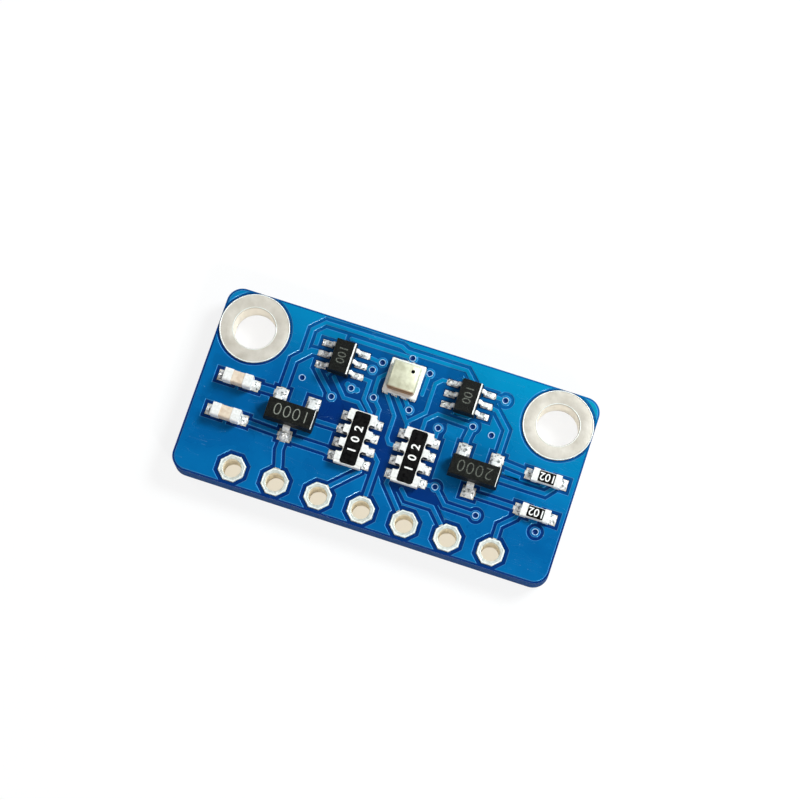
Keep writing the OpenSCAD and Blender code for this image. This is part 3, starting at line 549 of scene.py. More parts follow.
# %% The other finishes
TIN = finish("tin", (206, 198, 184), (228, 221, 210), (0.42, 0.54), metallic=0.25,
             broad=1.6, fine=9.0, relief=0.004, contrast=(0.3, 0.7))
PAD_TIN = finish("pad_tin", (196, 200, 192), (228, 232, 224), (0.36, 0.5), metallic=0.2,
                 broad=5.0, fine=9.0, relief=0.006, contrast=(0.3, 0.7))
SOLDER = finish("solder", (122, 127, 125), (255, 255, 253), (0.12, 0.24), metallic=0.3,
                broad=6.0, fine=12.0, relief=0.009, contrast=(0.38, 0.5))
LEAD = finish("lead", (240, 240, 236), (255, 255, 252), (0.25, 0.4), metallic=0.15,
              broad=9.0, fine=22.0, relief=0.003)
TERMINAL = finish("terminal", (238, 238, 234), (255, 255, 253), (0.3, 0.45),
                  metallic=0.1, broad=8.0, fine=20.0, relief=0.006)
MOULDING = finish("moulding", (6, 7, 6), (44, 46, 38), (0.4, 0.6), broad=16.0,
                  fine=30.0, relief=0.008, specular=0.2, detail=6.0, contrast=(0.48, 0.74))
# Painted highlight for edges and +X faces of the moulded bodies.
PAINTED_HIGHLIGHT = finish("painted_highlight", (214, 213, 208), (246, 246, 242), (0.2, 0.35),
                     broad=6.0, fine=20.0)
WHITE_CERAMIC = finish("white_ceramic", (232, 230, 224), (248, 247, 243), (0.45, 0.6),
                       broad=5.0, fine=24.0, relief=0.003)
TAN_CERAMIC = finish("tan_ceramic", (218, 196, 172), (236, 220, 200), (0.4, 0.55),
                     broad=4.0, fine=24.0, relief=0.004)
OVERCOAT = finish("overcoat", (3, 3, 4), (16, 15, 15), (0.25, 0.4), broad=5.0, fine=14.0,
                  relief=0.005, specular=0.2)
INK = finish("ink", (240, 240, 236), (254, 254, 252), (0.5, 0.6), broad=12.0)
PALE_INK = finish("pale_ink", (104, 108, 98), (168, 171, 160), (0.5, 0.65), broad=18.0,
                  contrast=(0.35, 0.65))
FAINT_INK = finish("faint_ink", (46, 48, 42), (112, 116, 106), (0.5, 0.65), broad=14.0,
                   contrast=(0.42, 0.6))
LID_METAL = finish("lid_metal", (216, 214, 184), (238, 237, 210), (0.3, 0.42),
                   metallic=0.25, broad=3.0, fine=18.0, relief=0.003)
SUBSTRATE = finish("substrate", (240, 239, 234), (252, 252, 249), (0.4, 0.5), broad=5.0)
SILICON = finish("silicon", (92, 96, 108), (120, 124, 134), (0.15, 0.25), metallic=0.6,
                 broad=3.0)
# Painted shade: the via barrels are painted dark navy, in place of their metal, for the dark of
# the holes.
VIA_SHADE = finish("via_wall_shade", (2, 16, 66), (6, 34, 104), (0.8, 0.9), broad=6.0,
                  specular=0.0)
VIA_LIP = finish("via_lip", OVER_COPPER, OVER_COPPER_PALE, (0.2, 0.3), broad=4.0, specular=0.15)

foil_top = PAD_Z - MID_Z
# Painted light: the tin, and below the pad tin, turn lighter and warmer down inside the holes.
tinted(TIN, (250, 243, 230), foil_top - 0.03, foil_top - 0.13)
tinted(PAD_TIN, (244, 234, 212), foil_top + 0.02, foil_top - 0.03)
pad_top = box("header_pad_1")[1].z - MID_Z
# Painted highlight: the raised rims of the pad tin are painted near-white.
tinted(PAD_TIN, (250, 255, 251), pad_top + 0.008, pad_top + 0.018)
film_top = FILM_Z - MID_Z
# Painted highlight on the crest of each via plug's lip, and painted shade in its dish below.
tinted(VIA_LIP, (178, 214, 246), film_top + 0.008, film_top + 0.018)
tinted(VIA_LIP, (0, 40, 104), film_top - 0.002, film_top - 0.018)
LID = box("sensor_lid")
# Painted reflection: the lid's front wall is painted brown.
tinted(LID_METAL, (166, 122, 80), -LID[0].y - 0.12, -LID[0].y - 0.04, (0.0, -1.0, 0.0))
bellied(LID_METAL, middle(LID), 0.18)
print("finishes:", len(bpy.data.materials))

# %% [markdown]
# ## Helpers for pieces
#
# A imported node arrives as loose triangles. To soften its edges a merged copy is made: doubled
# points are joined and flat areas become single faces, so that a Bevel modifier finds only the
# real edges. The copy then stands for the node, which is hidden but kept.

# %% Helpers: merged copies
SOFT_ANGLE = 28
MERGE = 1e-7
FLAT_SEAM = radians(0.5)


def merged(node):
    """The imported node's mesh as a BMesh, in metres, with doubles and flat seams removed."""
    work = bmesh.new()
    work.from_mesh(nodes[node].data)
    bmesh.ops.remove_doubles(work, verts=work.verts, dist=MERGE)
    bmesh.ops.dissolve_limit(work, angle_limit=FLAT_SEAM, verts=work.verts, edges=work.edges)
    return work


def mesh_of(work, name, *materials):
    mesh = bpy.data.meshes.new(name)
    work.to_mesh(mesh)
    work.free()
    for material in materials:
        mesh.materials.append(material)
    return mesh


def shells(work):
    """Points of each separate shell in a BMesh."""
    unseen = set(work.verts)
    found = []
    while unseen:
        reached = [unseen.pop()]
        for vert in reached:
            for edge in vert.link_edges:
                other = edge.other_vert(vert)
                if other in unseen:
                    unseen.remove(other)
                    reached.append(other)
        found.append(reached)
    return found


def facing_out(mesh, merge=1e-9):
    """Joins doubled points of closed shells and turns every face outwards."""
    work = bmesh.new()
    work.from_mesh(mesh)
    bmesh.ops.remove_doubles(work, verts=work.verts, dist=merge)
    bmesh.ops.recalc_face_normals(work, faces=work.faces)
    for shell in shells(work):
        faces = {face for vert in shell for face in vert.link_faces}
        if sum(f.calc_center_median().dot(f.normal) * f.calc_area() for f in faces) < 0:
            bmesh.ops.reverse_faces(work, faces=list(faces))
    work.to_mesh(mesh)
    work.free()
    return mesh


def islands(node):
    """Boxes, in millimetres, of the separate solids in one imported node."""
    work = merged(node)
    found = []
    for shell in shells(work):
        places = [vert.co / MM for vert in shell]
        found.append((Vector([min(p[i] for p in places) for i in range(3)]),
                      Vector([max(p[i] for p in places) for i in range(3)])))
    work.free()
    return sorted(found, key=lambda pair: (round(middle(pair).y, 2), middle(pair).x))


def dressed(piece, slot, *replaced):
    """Gives a finished piece its body and hides the nodes that it stands for; the slot is not
    used.
    """
    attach(piece, "root")
    if replaced:
        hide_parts(*replaced)


def shaded(mesh, angle):
    """Smooth shading, with edges that turn by more than an angle in degrees kept crisp."""
    mesh.shade_smooth()
    mesh.set_sharp_from_angle(angle=radians(angle))


def soft_piece(node, work, materials, width, slot, sharp=SOFT_ANGLE):
    """Piece with bevelled edges, made from a BMesh; the width is in millimetres."""
    mesh = mesh_of(work, node + "_soft", *materials)
    shaded(mesh, sharp)
    piece = new_object(node + "_soft", mesh)
    bevel = piece.modifiers.new("soft edges", "BEVEL")
    bevel.width = width * MM
    bevel.segments = 2
    bevel.limit_method = "ANGLE"
    bevel.angle_limit = radians(SOFT_ANGLE)
    bevel.harden_normals = True
    dressed(piece, slot, node)


def softened(node, width, material, slot, rounded=None, second=None):
    """Softened copy of a node.

    rounded is (test of an edge, radius); second is (test of a face, material).
    """
    work = merged(node)
    materials = [material]
    if rounded:
        test, radius = rounded
        bmesh.ops.bevel(work, geom=[e for e in work.edges if test(e)], offset=radius * MM,
                        offset_type="OFFSET", segments=5, profile=0.5, affect="EDGES",
                        clamp_overlap=True)
    if second:
        test, other = second
        materials.append(other)
        for face in work.faces:
            face.material_index = 1 if test(face) else 0
    soft_piece(node, work, materials, width, slot)


# %% [markdown]
# ## Nodes that keep their shape
#
# The laminate, the copper, the barrels of the small vias and the chips inside the sensor are
# exact already. They only take a material.

# %% Materials for the imported nodes
# The via barrels take painted shade rather than a metal finish.
KEPT = {"board_laminate": LAMINATE, "copper_top": TIN, "copper_bottom": TIN,
        "via_barrels": VIA_SHADE, "pressure_die": SILICON, "signal_chip": SILICON}
for node, material in KEPT.items():
    nodes[node].data.materials.clear()
    nodes[node].data.materials.append(material)
print("kept nodes:", ", ".join(KEPT))

# %% [markdown]
# ## The lacquer film
#
# Lacquer is sprayed on after the copper is etched, so it flows down over each copper edge in a
# soft slope. Those slopes catch the light and draw the tracks as fine bright and dark lines. In
# the imported film the step is upright. Here a merged copy gets one more loop halfway down each
# step, the foot of the step moves outwards, and normals set one by one make the flat areas shade
# flat and the slope shade round. That costs few faces and no modifier.

# %% The lacquer film on both faces
SLOPE_SHIFTS = (0.022, -0.012, -0.046)
SLOPE_TILTS = (radians(40), radians(33), radians(26))
SLOPE_CORNER = radians(30)
SAME_HEIGHT = 1e-6
LYING, STANDING, QUITE_FLAT = 0.9, 0.1, 0.98  # what a face's normal has of Z
LEAST_AWAY = 0.6
MITRE_LIMIT = 0.5
AWAY = "away from copper"


def at(vert, z):
    return abs(vert.co.z - z) < SAME_HEIGHT


def level_part(vector):
    return Vector((vector.x, vector.y, 0))


def opened_flats(work, height):
    """Takes away the flat faces at a height and gives back the edges round them."""
    flats = {face for face in work.faces
             if abs(face.normal.z) > LYING and all(at(v, height) for v in face.verts)}
    rims = [edge for face in flats for edge in face.edges
            if sum(1 for other in edge.link_faces if other in flats) == 1]
    bmesh.ops.delete(work, geom=list(flats), context="FACES")
    return rims


def split_steps(work, base_z, halfway, crest_z, away):
    """Notes on each point of a step which way is away from copper, and halves the step."""
    steps = [face for face in work.faces if abs(face.normal.z) < STANDING
             and all(at(v, base_z) or at(v, crest_z) for v in face.verts)]
    for face in steps:
        for vert in face.verts:
            vert[away] += face.normal
    uprights = {edge for face in steps for edge in face.edges
                if at(edge.verts[0], base_z) != at(edge.verts[1], base_z)}
    for edge in uprights:
        bmesh.utils.edge_split(edge, edge.verts[0], 0.5)
    for face in steps:
        halves = [vert for vert in face.verts if at(vert, halfway)]
        if len(halves) == 2:
            bmesh.utils.face_split(face, halves[0], halves[1])


def film_normals(mesh, on_slope, level):
    """Normals of each corner: upright on flat faces, leaning on the slopes."""
    normals = []
    for face in mesh.polygons:
        if abs(face.normal.z) > QUITE_FLAT:
            normals += [Vector((0, 0, copysign(1, face.normal.z)))] * len(face.vertices)
        elif all(i in on_slope for i in face.vertices):
            own = level_part(face.normal).normalized()
            for i in face.vertices:
                mean, tilt = on_slope[i]
                lean = mean if mean.angle(own) < SLOPE_CORNER / 2 else own
                normals.append(lean * sin(tilt) + level * cos(tilt))
        else:
            normals += [face.normal] * len(face.vertices)
    return normals


def film(node, name, sign):
    """Copy of a lacquer film with soft slopes for steps; sign is +1 on the top face."""
    work = merged(node)
    base_z = (MID_Z + sign * (TOP_Z + FILM_T - MID_Z)) * MM
    crest_z = (MID_Z + sign * (FILM_Z - MID_Z)) * MM
    halfway = (base_z + crest_z) / 2
    away = work.verts.layers.float_vector.new(AWAY)
    split_steps(work, base_z, halfway, crest_z, away)
    rims = opened_flats(work, base_z) + opened_flats(work, crest_z)
    crisp = set(rims)

    slopes = dict(zip((base_z, halfway, crest_z), zip(SLOPE_SHIFTS, SLOPE_TILTS)))
    level = Vector((0, 0, sign))
    on_slope = {}
    work.verts.index_update()
    for vert in work.verts:
        shift, tilt = next((pair for z, pair in slopes.items() if at(vert, z)), (None, None))
        if shift is None or vert[away].length < LEAST_AWAY:
            continue
        mean = vert[away].normalized()
        across = max(face.normal.dot(mean) for face in vert.link_faces)
        vert.co += mean / max(across, MITRE_LIMIT) * shift * MM
        on_slope[vert.index] = (mean, tilt)
    for height in (base_z, crest_z):
        around = [edge for edge in rims if edge.is_valid and at(edge.verts[0], height)]
        bmesh.ops.triangle_fill(work, use_beauty=True, edges=around, normal=level)
    bmesh.ops.recalc_face_normals(work, faces=work.faces)
    for edge in work.edges:
        sides = [level_part(face.normal) for face in edge.link_faces]
        flat = min(side.length for side in sides) < 2 * STANDING
        edge.smooth = not (edge in crisp or flat or sides[0].angle(sides[-1]) > SLOPE_CORNER)
    for face in work.faces:
        face.smooth = True
    mesh = mesh_of(work, name, LACQUER)
    mesh.attributes.remove(mesh.attributes[AWAY])
    mesh.normals_split_custom_set(film_normals(mesh, on_slope, level))
    print(name, "faces:", len(mesh.polygons), "slope points:", len(on_slope))
    dressed(new_object(name, mesh), "solder_mask", node)


film("solder_mask_top", "lacquer_top", 1)
film("solder_mask_bottom", "lacquer_bottom", -1)

# %% [markdown]
# ## A tree that places copies
#
# Seven header pads, sixteen vias and some forty solder joints repeat. One Geometry Nodes tree
# places them all: it puts a copy of a prototype on each point of a mesh, turned by an attribute of
# the point, makes the copies real, and pushes their surface in and out with noise, so that no two
# are quite alike. The result is taken as a plain mesh, because exporters drop instances.

# %% Geometry Nodes: place copies
def on_points(tree, points, shape):
    """Real copies of a shape on points."""
    turn = add_node(tree, "GeometryNodeInputNamedAttribute", {"Name": "turn"},
                    data_type="FLOAT")
    copies = add_node(tree, "GeometryNodeInstanceOnPoints", {
        "Points": points, "Instance": shape,
        "Rotation": add_node(tree, "ShaderNodeCombineXYZ", {"Z": turn})})
    return add_node(tree, "GeometryNodeRealizeInstances", {0: copies})


def painted(tree, shape, material, out):
    set_inputs(tree, out, {0: add_node(tree, "GeometryNodeSetMaterial", {
        "Geometry": shape, "Material": material})})


def copies_tree():
    tree, given, out = new_tree("Geometry", "Place copies", {
        "Geometry": "Geometry", "Prototype": "Object", "Material": "Material",
        "Unevenness": 0.0, "Lump size": 0.0002, "Seed": 0.0})
    prototype = add_node(tree, "GeometryNodeObjectInfo", {
        "As Instance": True, "Object": given["Prototype"]})
    real = on_points(tree, given["Geometry"], prototype.outputs["Geometry"])
    lumps = add_node(tree, "ShaderNodeTexNoise", {
        "Vector": add_node(tree, "GeometryNodeInputPosition"), "W": given["Seed"],
        "Scale": calc(tree, "DIVIDE", 1.0, given["Lump size"]), "Detail": 2.0},
        noise_dimensions="4D")
    centred = calc(tree, "SUBTRACT", lumps, 0.5)
    push = scaled(tree, add_node(tree, "GeometryNodeInputNormal"),
                  calc(tree, "MULTIPLY", centred, given["Unevenness"]))
    moved = add_node(tree, "GeometryNodeSetPosition", {"Geometry": real, "Offset": push})
    painted(tree, moved, given["Material"], out)
    return tree


def baked(holder, name):
    """Plain mesh of what an object evaluates to; the object goes."""
    evaluated = holder.evaluated_get(bpy.context.evaluated_depsgraph_get())
    mesh = bpy.data.meshes.new_from_object(evaluated)
    mesh.name = name
    bpy.data.objects.remove(holder)
    return mesh


def run_tree(name, places, tree, values, angle):
    """Runs a tree on points (x, y, z, turn in degrees) and gives its result as a plain piece."""
    points = mesh_from(name, [place[:3] for place in places])
    turn = points.attributes.new("turn", "FLOAT", "POINT")
    for i, place in enumerate(places):
        turn.data[i].value = radians(place[3])
    holder = new_object(name + "_points", points)
    modifier = holder.modifiers.new(tree.name, "NODES")
    modifier.node_group = tree
    for item in tree.interface.items_tree:
        if item.in_out == "INPUT" and item.name in values:
            modifier[item.identifier] = values[item.name]
    mesh = baked(holder, name)
    if "turn" in mesh.attributes:
        mesh.attributes.remove(mesh.attributes["turn"])
    shaded(mesh, angle)
    return new_object(name, mesh)


COPIES = copies_tree()


def copied(name, prototype, places, material, slot, replaced, unevenness, lump, seed=0.0,
           angle=50):
    """One piece made of uneven copies of a prototype mesh; lengths are in millimetres."""
    model = bpy.data.objects.new(name + "_prototype", prototype)
    piece = run_tree(name, places, COPIES, {
        "Prototype": model, "Material": material, "Unevenness": unevenness * MM,
        "Lump size": lump * MM, "Seed": seed}, angle)
    bpy.data.objects.remove(model)
    dressed(piece, slot, *replaced)


# %% [markdown]
# ## Turned and lofted shapes
#
# A plated hole is a stack of closed rings: out over the top, down the barrel and back under. If
# each ring may go from eight-sided to round, one loft makes header pads, mounting rings and via
# collars alike. The rings close on themselves, so the mesh has no open edge.

# %% Helper: a loft of closed rings
RING_POINTS = 64
FINE_RING_POINTS = 128
VIA_RING_POINTS = 24


def octagon_reach(angle, flat):
    """Distance from the centre to an octagon's side, for a half width across its flats."""
    nearest = round(angle / (pi / 4)) * (pi / 4)
    return flat / cos(angle - nearest)


def ring(radius, z, roundness=1.0, points=RING_POINTS):
    """Ring of points at a height; roundness 0 is an octagon and 1 is a circle."""
    made = []
    for k in range(points):
        angle = 2 * pi * k / points
        reach = radius * roundness + octagon_reach(angle, radius) * (1 - roundness)
        made.append((reach * cos(angle), reach * sin(angle), z))
    return made


def looped(name, rings, capped=False):
    """Mesh through a list of rings; the last joins the first, or both ends are capped."""
    count = len(rings[0])
    faces = []
    if capped:
        last = (len(rings) - 1) * count
        faces += [tuple(range(count)), tuple(range(last, last + count))]
    for r in range(len(rings) - capped):
        below, above = r * count, (r + 1) % len(rings) * count
        for k in range(count):
            after = (k + 1) % count
            faces.append((below + k, below + after, above + after, above + k))
    return facing_out(mesh_from(name, [point for one in rings for point in one], faces))


def turned(name, section):
    """Mesh of a section (radius, height) turned round the Z axis."""
    return looped(name, [ring(r, z, points=FINE_RING_POINTS) for r, z in section])


def arc(centre_r, centre_z, radius, start, end, steps):
    """Points (radius, height) of an arc in a section, from one angle to another in degrees."""
    angles = [radians(start + (end - start) * i / steps) for i in range(steps + 1)]
    return [(centre_r + radius * cos(a), centre_z + radius * sin(a)) for a in angles]


# %% [markdown]
# ## Header pads
#
# Each header hole has an eight-sided tinned pad on both faces. Hot-air levelling leaves the tin
# with a raised, slightly lumpy rim along the pad's edge and a rolled lip at the hole. The section
# below goes from the rim to the lip, down the barrel and back, and fades from eight-sided to round
# on the way.

# %% Header pads
PAD_NAMES = ["header_pad_%d" % i for i in range(1, 8)]
HOLE_R = 0.52
BARREL_T = 0.04
RIM_RISE = 0.024
LIP = 0.05


def header_pad_mesh():
    low, high = box("header_pad_1")
    half = (high.x - low.x) / 2
    top = high.z
    lip_r = HOLE_R + LIP
    section = [(half, TOP_Z, 0), (half, top - 0.03, 0), (half - 0.012, top - 0.004, 0.02),
               (half - 0.03, top + RIM_RISE * 0.75, 0.05), (half - 0.055, top + RIM_RISE, 0.12),
               (half - 0.09, top + RIM_RISE * 0.4, 0.3), (lip_r + 0.01, top + 0.002, 1)]
    lips = (arc(lip_r, top - LIP + 0.004, LIP, 90, 180, 4)
            + arc(lip_r, low.z + LIP, LIP, 180, 270, 4))
    section += [(r, z, 1) for r, z in lips]
    section += [(half - 0.05, low.z, 0.1), (half - 0.01, low.z + 0.006, 0),
                (half, low.z + 0.03, 0), (half, BOARD[0].z, 0),
                (HOLE_R + BARREL_T, BOARD[0].z, 1), (HOLE_R + BARREL_T, TOP_Z, 1)]
    return looped("header_pad", [ring(r, z, roundness) for r, z, roundness in section])


def centred_on(part, turn=0):
    """Place of a copy in the middle of a box, at no height of its own."""
    spot = middle(part)
    return spot.x, spot.y, 0, turn


copied("header_pads_tinned", header_pad_mesh(),
       [centred_on(box(name), 45 * i) for i, name in enumerate(PAD_NAMES)], PAD_TIN,
       "tinned_pad", PAD_NAMES, unevenness=0.045, lump=0.13, angle=35)

# %% [markdown]
# ## Mounting rings
#
# The two large rings are turned shapes: a low dome of tin, a lip at the hole and a barrel. Two
# thin rolls of tin lie on the dome, one along its rim and one at the hole; they take the pad tin
# with its painted highlight, to draw bright rims. The same loft serves, with round rings only and
# finer steps.

# %% Mounting rings
MOUNT_R = 1.2
TIN_Z = PAD_Z + 0.035
MOUNT_LIP = 0.06
DOME_STEPS = 14


def mounting_ring_mesh(node):
    low, high = box(node)
    outer = (high.x - low.x) / 2
    crown = high.z - TIN_Z
    lip_r, inner = MOUNT_R + MOUNT_LIP, MOUNT_R + BARREL_T
    section = [(outer, TOP_Z), (outer, TIN_Z - 0.02), (outer - 0.012, TIN_Z),
               (outer - 0.04, TIN_Z + crown * 0.6), (outer - 0.08, TIN_Z + crown * 0.45)]
    for i in range(1, DOME_STEPS):
        u = i / DOME_STEPS
        section.append((outer + (MOUNT_R - outer) * u, TIN_Z + crown * sin(pi * u)))
    section += arc(lip_r, TIN_Z - 0.055, MOUNT_LIP, 90, 180, 5)
    section += arc(lip_r, low.z + MOUNT_LIP, MOUNT_LIP, 180, 270, 5)
    section += [(outer - 0.03, low.z), (outer, low.z + 0.02), (outer, BOARD[0].z),
                (inner, BOARD[0].z), (inner, TOP_Z)]
    return turned(node, section)


for node in ("mounting_ring_left", "mounting_ring_right"):
    low, high = box(node)
    places = [centred_on((low, high))]
    for part, radius, thickness in (("rim", (high.x - low.x) / 2 - 0.035, 0.064),
                                    ("lip", MOUNT_R + 0.05, 0.044)):
        roll = arc(radius, TIN_Z, thickness / 2, 0, 360, 8)[:-1]
        copied("%s_%s" % (node, part), turned("roll", roll), places, PAD_TIN, "tinned_pad", [],
               unevenness=0.02, lump=0.4)
    copied(node + "_tinned", mounting_ring_mesh(node), places, TIN, "tinned_pad", [node],
           unevenness=0.012, lump=0.5, angle=35)

# %% [markdown]
# ## Via plugs
#
# A via is a tiny plated hole that joins the two copper faces. The lacquer runs over its ring and
# closes the hole with a small dished plug. Its raised lip is a bright thread of painted highlight
# round a dark eye of painted shade in the dish. The same loft makes it, this time with both ends
# capped.

# %% Via plugs
VIA_SECTION = [(0.05, -0.05), (0.105, -0.045), (0.13, -0.02), (0.15, 0.01), (0.165, 0.019),
               (0.185, 0.016), (0.21, 0.005), (0.24, -0.006), (0.2, -0.012), (0.13, -0.05),
               (0.05, -0.075)]

via_places = [centred_on(barrel) for barrel in islands("via_barrels")]
for sign, name in ((1, "via_plugs_top"), (-1, "via_plugs_bottom")):
    start = MID_Z + sign * (FILM_Z - MID_Z)
    rings = [ring(r, start + sign * z, points=VIA_RING_POINTS) for r, z in VIA_SECTION]
    copied(name, looped("plug", rings, capped=True), via_places, VIA_LIP, "solder_mask", [],
           unevenness=0.02, lump=0.2)
print("vias:", len(via_places))

# %% [markdown]
# ## Bodies, ceramics and terminals
#
# These are real moulded and fired parts: none has a razor edge. Softened copies stand for them.
# A moulded body has painted highlights in near-white: on the regulator and transistor a thin bevel
# along the top edge at the +X end and along the mould's parting line at both ends, and on every
# body the faces that lean toward +X.

# %% Moulded bodies
SHIFTERS = ("shifter_left", "shifter_right")
ARRAYS = ("array_left", "array_right")
RESISTORS = ("resistor_upper", "resistor_lower")
CAPACITORS = ("capacitor_upper", "capacitor_lower")
LEVEL_WITHIN = 0.002
HIGHLIGHT_LENGTH = 0.5
HIGHLIGHT_REACH = 0.16
TO_THE_RIGHT, UPWARDS = 0.45, 0.3  # the least that a painted-highlight face's normal has of X and of Z


def moulded(node, highlight_edges=()):
    """Softened body; edges listed as (end, height, width), and faces tilted to +X, get a painted
    highlight.
    """
    work = merged(node)
    for end, height, width in highlight_edges:
        reach = max(end * vert.co.x for vert in work.verts)
        edges = [edge for edge in work.edges if edge.calc_length() > HIGHLIGHT_LENGTH * MM
                 and all(abs(v.co.z / MM - height) < LEVEL_WITHIN
                         and reach - end * v.co.x < HIGHLIGHT_REACH * MM for v in edge.verts)]
        bmesh.ops.bevel(work, geom=edges, offset=width * MM, offset_type="WIDTH", segments=1,
                        affect="EDGES", material=1)
    for face in work.faces:
        if face.normal.x > TO_THE_RIGHT and face.normal.z > UPWARDS:
            face.material_index = 1
    soft_piece(node, work, (MOULDING, PAINTED_HIGHLIGHT), 0.012, "moulding", sharp=25)


for part in SHIFTERS:
    moulded(part + "_body")
for node in ("regulator_body", "transistor_body"):
    levels = sorted({round(v.co.z / MM, 3) for v in nodes[node].data.vertices})
    moulded(node, ((1, levels[-1], 0.05), (1, levels[1], 0.05), (-1, levels[1], 0.035)))


# %% Softened parts
END_MARGIN = 0.1
LID_BAND = 0.2
UPRIGHT_SHARE = 0.9
STEEP = 0.5


def upright(edge):
    rise = abs(edge.verts[0].co.z - edge.verts[1].co.z)
    return rise > UPRIGHT_SHARE * edge.calc_length()


def in_a_notch(node):
    """Test for the side faces of a ceramic that lie inside its ends."""
    low, high = box(node)

    def test(face):
        spot = face.calc_center_median().y / MM
        return abs(face.normal.z) < STEEP and low.y + END_MARGIN < spot < high.y - END_MARGIN
    return test


def on_lid_rim(edge):
    """Test for the upper outer edges of the lid, but not the vent's."""
    low, high = LID
    places = [v.co / MM for v in edge.verts]
    return all(abs(p.z - high.z) < LEVEL_WITHIN
               and min(p.x - low.x, high.x - p.x, p.y - low.y, high.y - p.y) < LID_BAND
               for p in places)


for part in ARRAYS:
    # The ceramic's side faces between its ends, in the notches between terminals, take the black
    # overcoat finish as painted shade.
    softened(part + "_ceramic", 0.02, WHITE_CERAMIC, "white_ceramic",
             second=(in_a_notch(part + "_ceramic"), OVERCOAT))
    softened(part + "_overcoat", 0.012, OVERCOAT, "overcoat", rounded=(upright, 0.14))
    softened(part + "_terminals", 0.012, TERMINAL, "terminal")
for resistor, capacitor in zip(RESISTORS, CAPACITORS):
    softened(resistor + "_ceramic", 0.008, WHITE_CERAMIC, "white_ceramic")
    softened(resistor + "_overcoat", 0.012, OVERCOAT, "overcoat", rounded=(upright, 0.05))
    softened(resistor + "_caps", 0.012, TERMINAL, "terminal")
    softened(capacitor + "_ceramic", 0.01, TAN_CERAMIC, "tan_ceramic")
    softened(capacitor + "_caps", 0.02, TERMINAL, "terminal")
softened("sensor_substrate", 0.02, SUBSTRATE, "sensor_base")
softened("sensor_lid", 0.006, LID_METAL, "sensor_lid", rounded=(on_lid_rim, 0.07))
softened("sensor_solder", 0.01, SOLDER, "solder")

# %% [markdown]
# ## Gull-wing leads
#
# A lead is a flat strip of metal that leaves the body, bends down and ends in a foot. It follows a
# path, so Geometry Nodes sweep it: a line of four points is moved to the corners of the path, its
# corners are rounded by a Fillet Curve node, and a small rounded rectangle is drawn along it. The
# tree then places a lead at each point that it is given.

# %% Geometry Nodes: gull-wing leads
LENGTHS = ("Root", "Knee", "Heel", "Toe", "Shoulder height", "Foot height", "Bend radius",
           "Width", "Thickness", "Edge radius")
CORNERS = (("Root", "Shoulder height"), ("Knee", "Shoulder height"), ("Heel", "Foot height"),
           ("Toe", "Foot height"))


def filleted(tree, curve, radius, count):
    """Curve with rounded corners."""
    return add_node(tree, "GeometryNodeFilletCurve", {
        "Curve": curve, "Radius": radius, "Count": count}, mode="POLY")


def leads_tree():
    tree, given, out = new_tree("Geometry", "Gull-wing leads", {
        "Geometry": "Geometry", **dict.fromkeys(LENGTHS, 0.0), "Material": "Material"})
    line = add_node(tree, "GeometryNodeMeshLine", {"Count": len(CORNERS)})
    pick = add_node(tree, "GeometryNodeIndexSwitch", data_type="VECTOR")
    while len(pick.index_switch_items) < len(CORNERS):
        pick.index_switch_items.new()
    corners = {str(i): add_node(tree, "ShaderNodeCombineXYZ", {"X": given[far], "Z": given[up]})
               for i, (far, up) in enumerate(CORNERS)}
    set_inputs(tree, pick, {"Index": add_node(tree, "GeometryNodeInputIndex"), **corners})
    moved = add_node(tree, "GeometryNodeSetPosition", {"Geometry": line, "Position": pick})
    path = add_node(tree, "GeometryNodeMeshToCurve", {0: moved})
    bent = filleted(tree, path, given["Bend radius"], 5)
    level = add_node(tree, "GeometryNodeSetCurveNormal", {"Curve": bent}, mode="Z_UP")
    strip = add_node(tree, "GeometryNodeCurvePrimitiveQuadrilateral", {
        "Width": given["Width"], "Height": given["Thickness"]})
    rounded = filleted(tree, strip, given["Edge radius"], 2)
    swept = add_node(tree, "GeometryNodeCurveToMesh", {
        "Curve": level, "Profile Curve": rounded, "Fill Caps": True})
    real = on_points(tree, given["Geometry"], swept)
    painted(tree, real, given["Material"], out)
    return tree


LEADS = leads_tree()
LEAD_T = 0.12
LEAN = radians(10)
BEND_R = 0.09
EDGE_R = 0.02
HEEL_BACK = 0.15
LEAD_CREASE = 40
FOOT = {"shifter_left": 0.22, "shifter_right": 0.22, "regulator": 0.30, "transistor": 0.30}


def facing(part, centre, across_x):
    """Turn, in degrees, that points local +X from a package's centre out to one of its parts."""
    offset = middle(part) - centre
    if across_x:
        return 0 if offset.x > 0 else 180
    return 90 if offset.y > 0 else -90


def swept_leads(package, foot):
    """Leads of one package, as long and as high as its packed leads."""
    centre = middle(box(package + "_body"))
    parts = islands(package + "_leads")
    low, high = parts[0]
    across_x = high.x - low.x > high.y - low.y
    axis, cross = (0, 1) if across_x else (1, 0)
    reach = max(abs(p[1][axis] - centre[axis]) for p in parts)
    root = min(min(abs(p[0][axis] - centre[axis]), abs(p[1][axis] - centre[axis]))
               for p in parts)
    foot_z = low.z + LEAD_T / 2
    shoulder_z = high.z - LEAD_T / 2
    heel = reach - foot
    knee = (heel - (shoulder_z - foot_z) * tan(LEAN)
            - BEND_R * tan((pi / 2 - LEAN) / 2))
    heel -= BEND_R * HEEL_BACK
    places = []
    for part in parts:
        spot = centre.copy()
        spot[cross] = middle(part)[cross]
        places.append((spot.x, spot.y, 0, facing(part, centre, across_x)))
    lengths = (root, knee, heel, reach, shoulder_z, foot_z, BEND_R, high[cross] - low[cross],
               LEAD_T, EDGE_R)
    values = {label: length * MM for label, length in zip(LENGTHS, lengths)}
    values["Material"] = LEAD
    piece = run_tree(package + "_leads_swept", places, LEADS, values, LEAD_CREASE)
    dressed(piece, "lead", package + "_leads")


for package, foot in FOOT.items():
    swept_leads(package, foot)

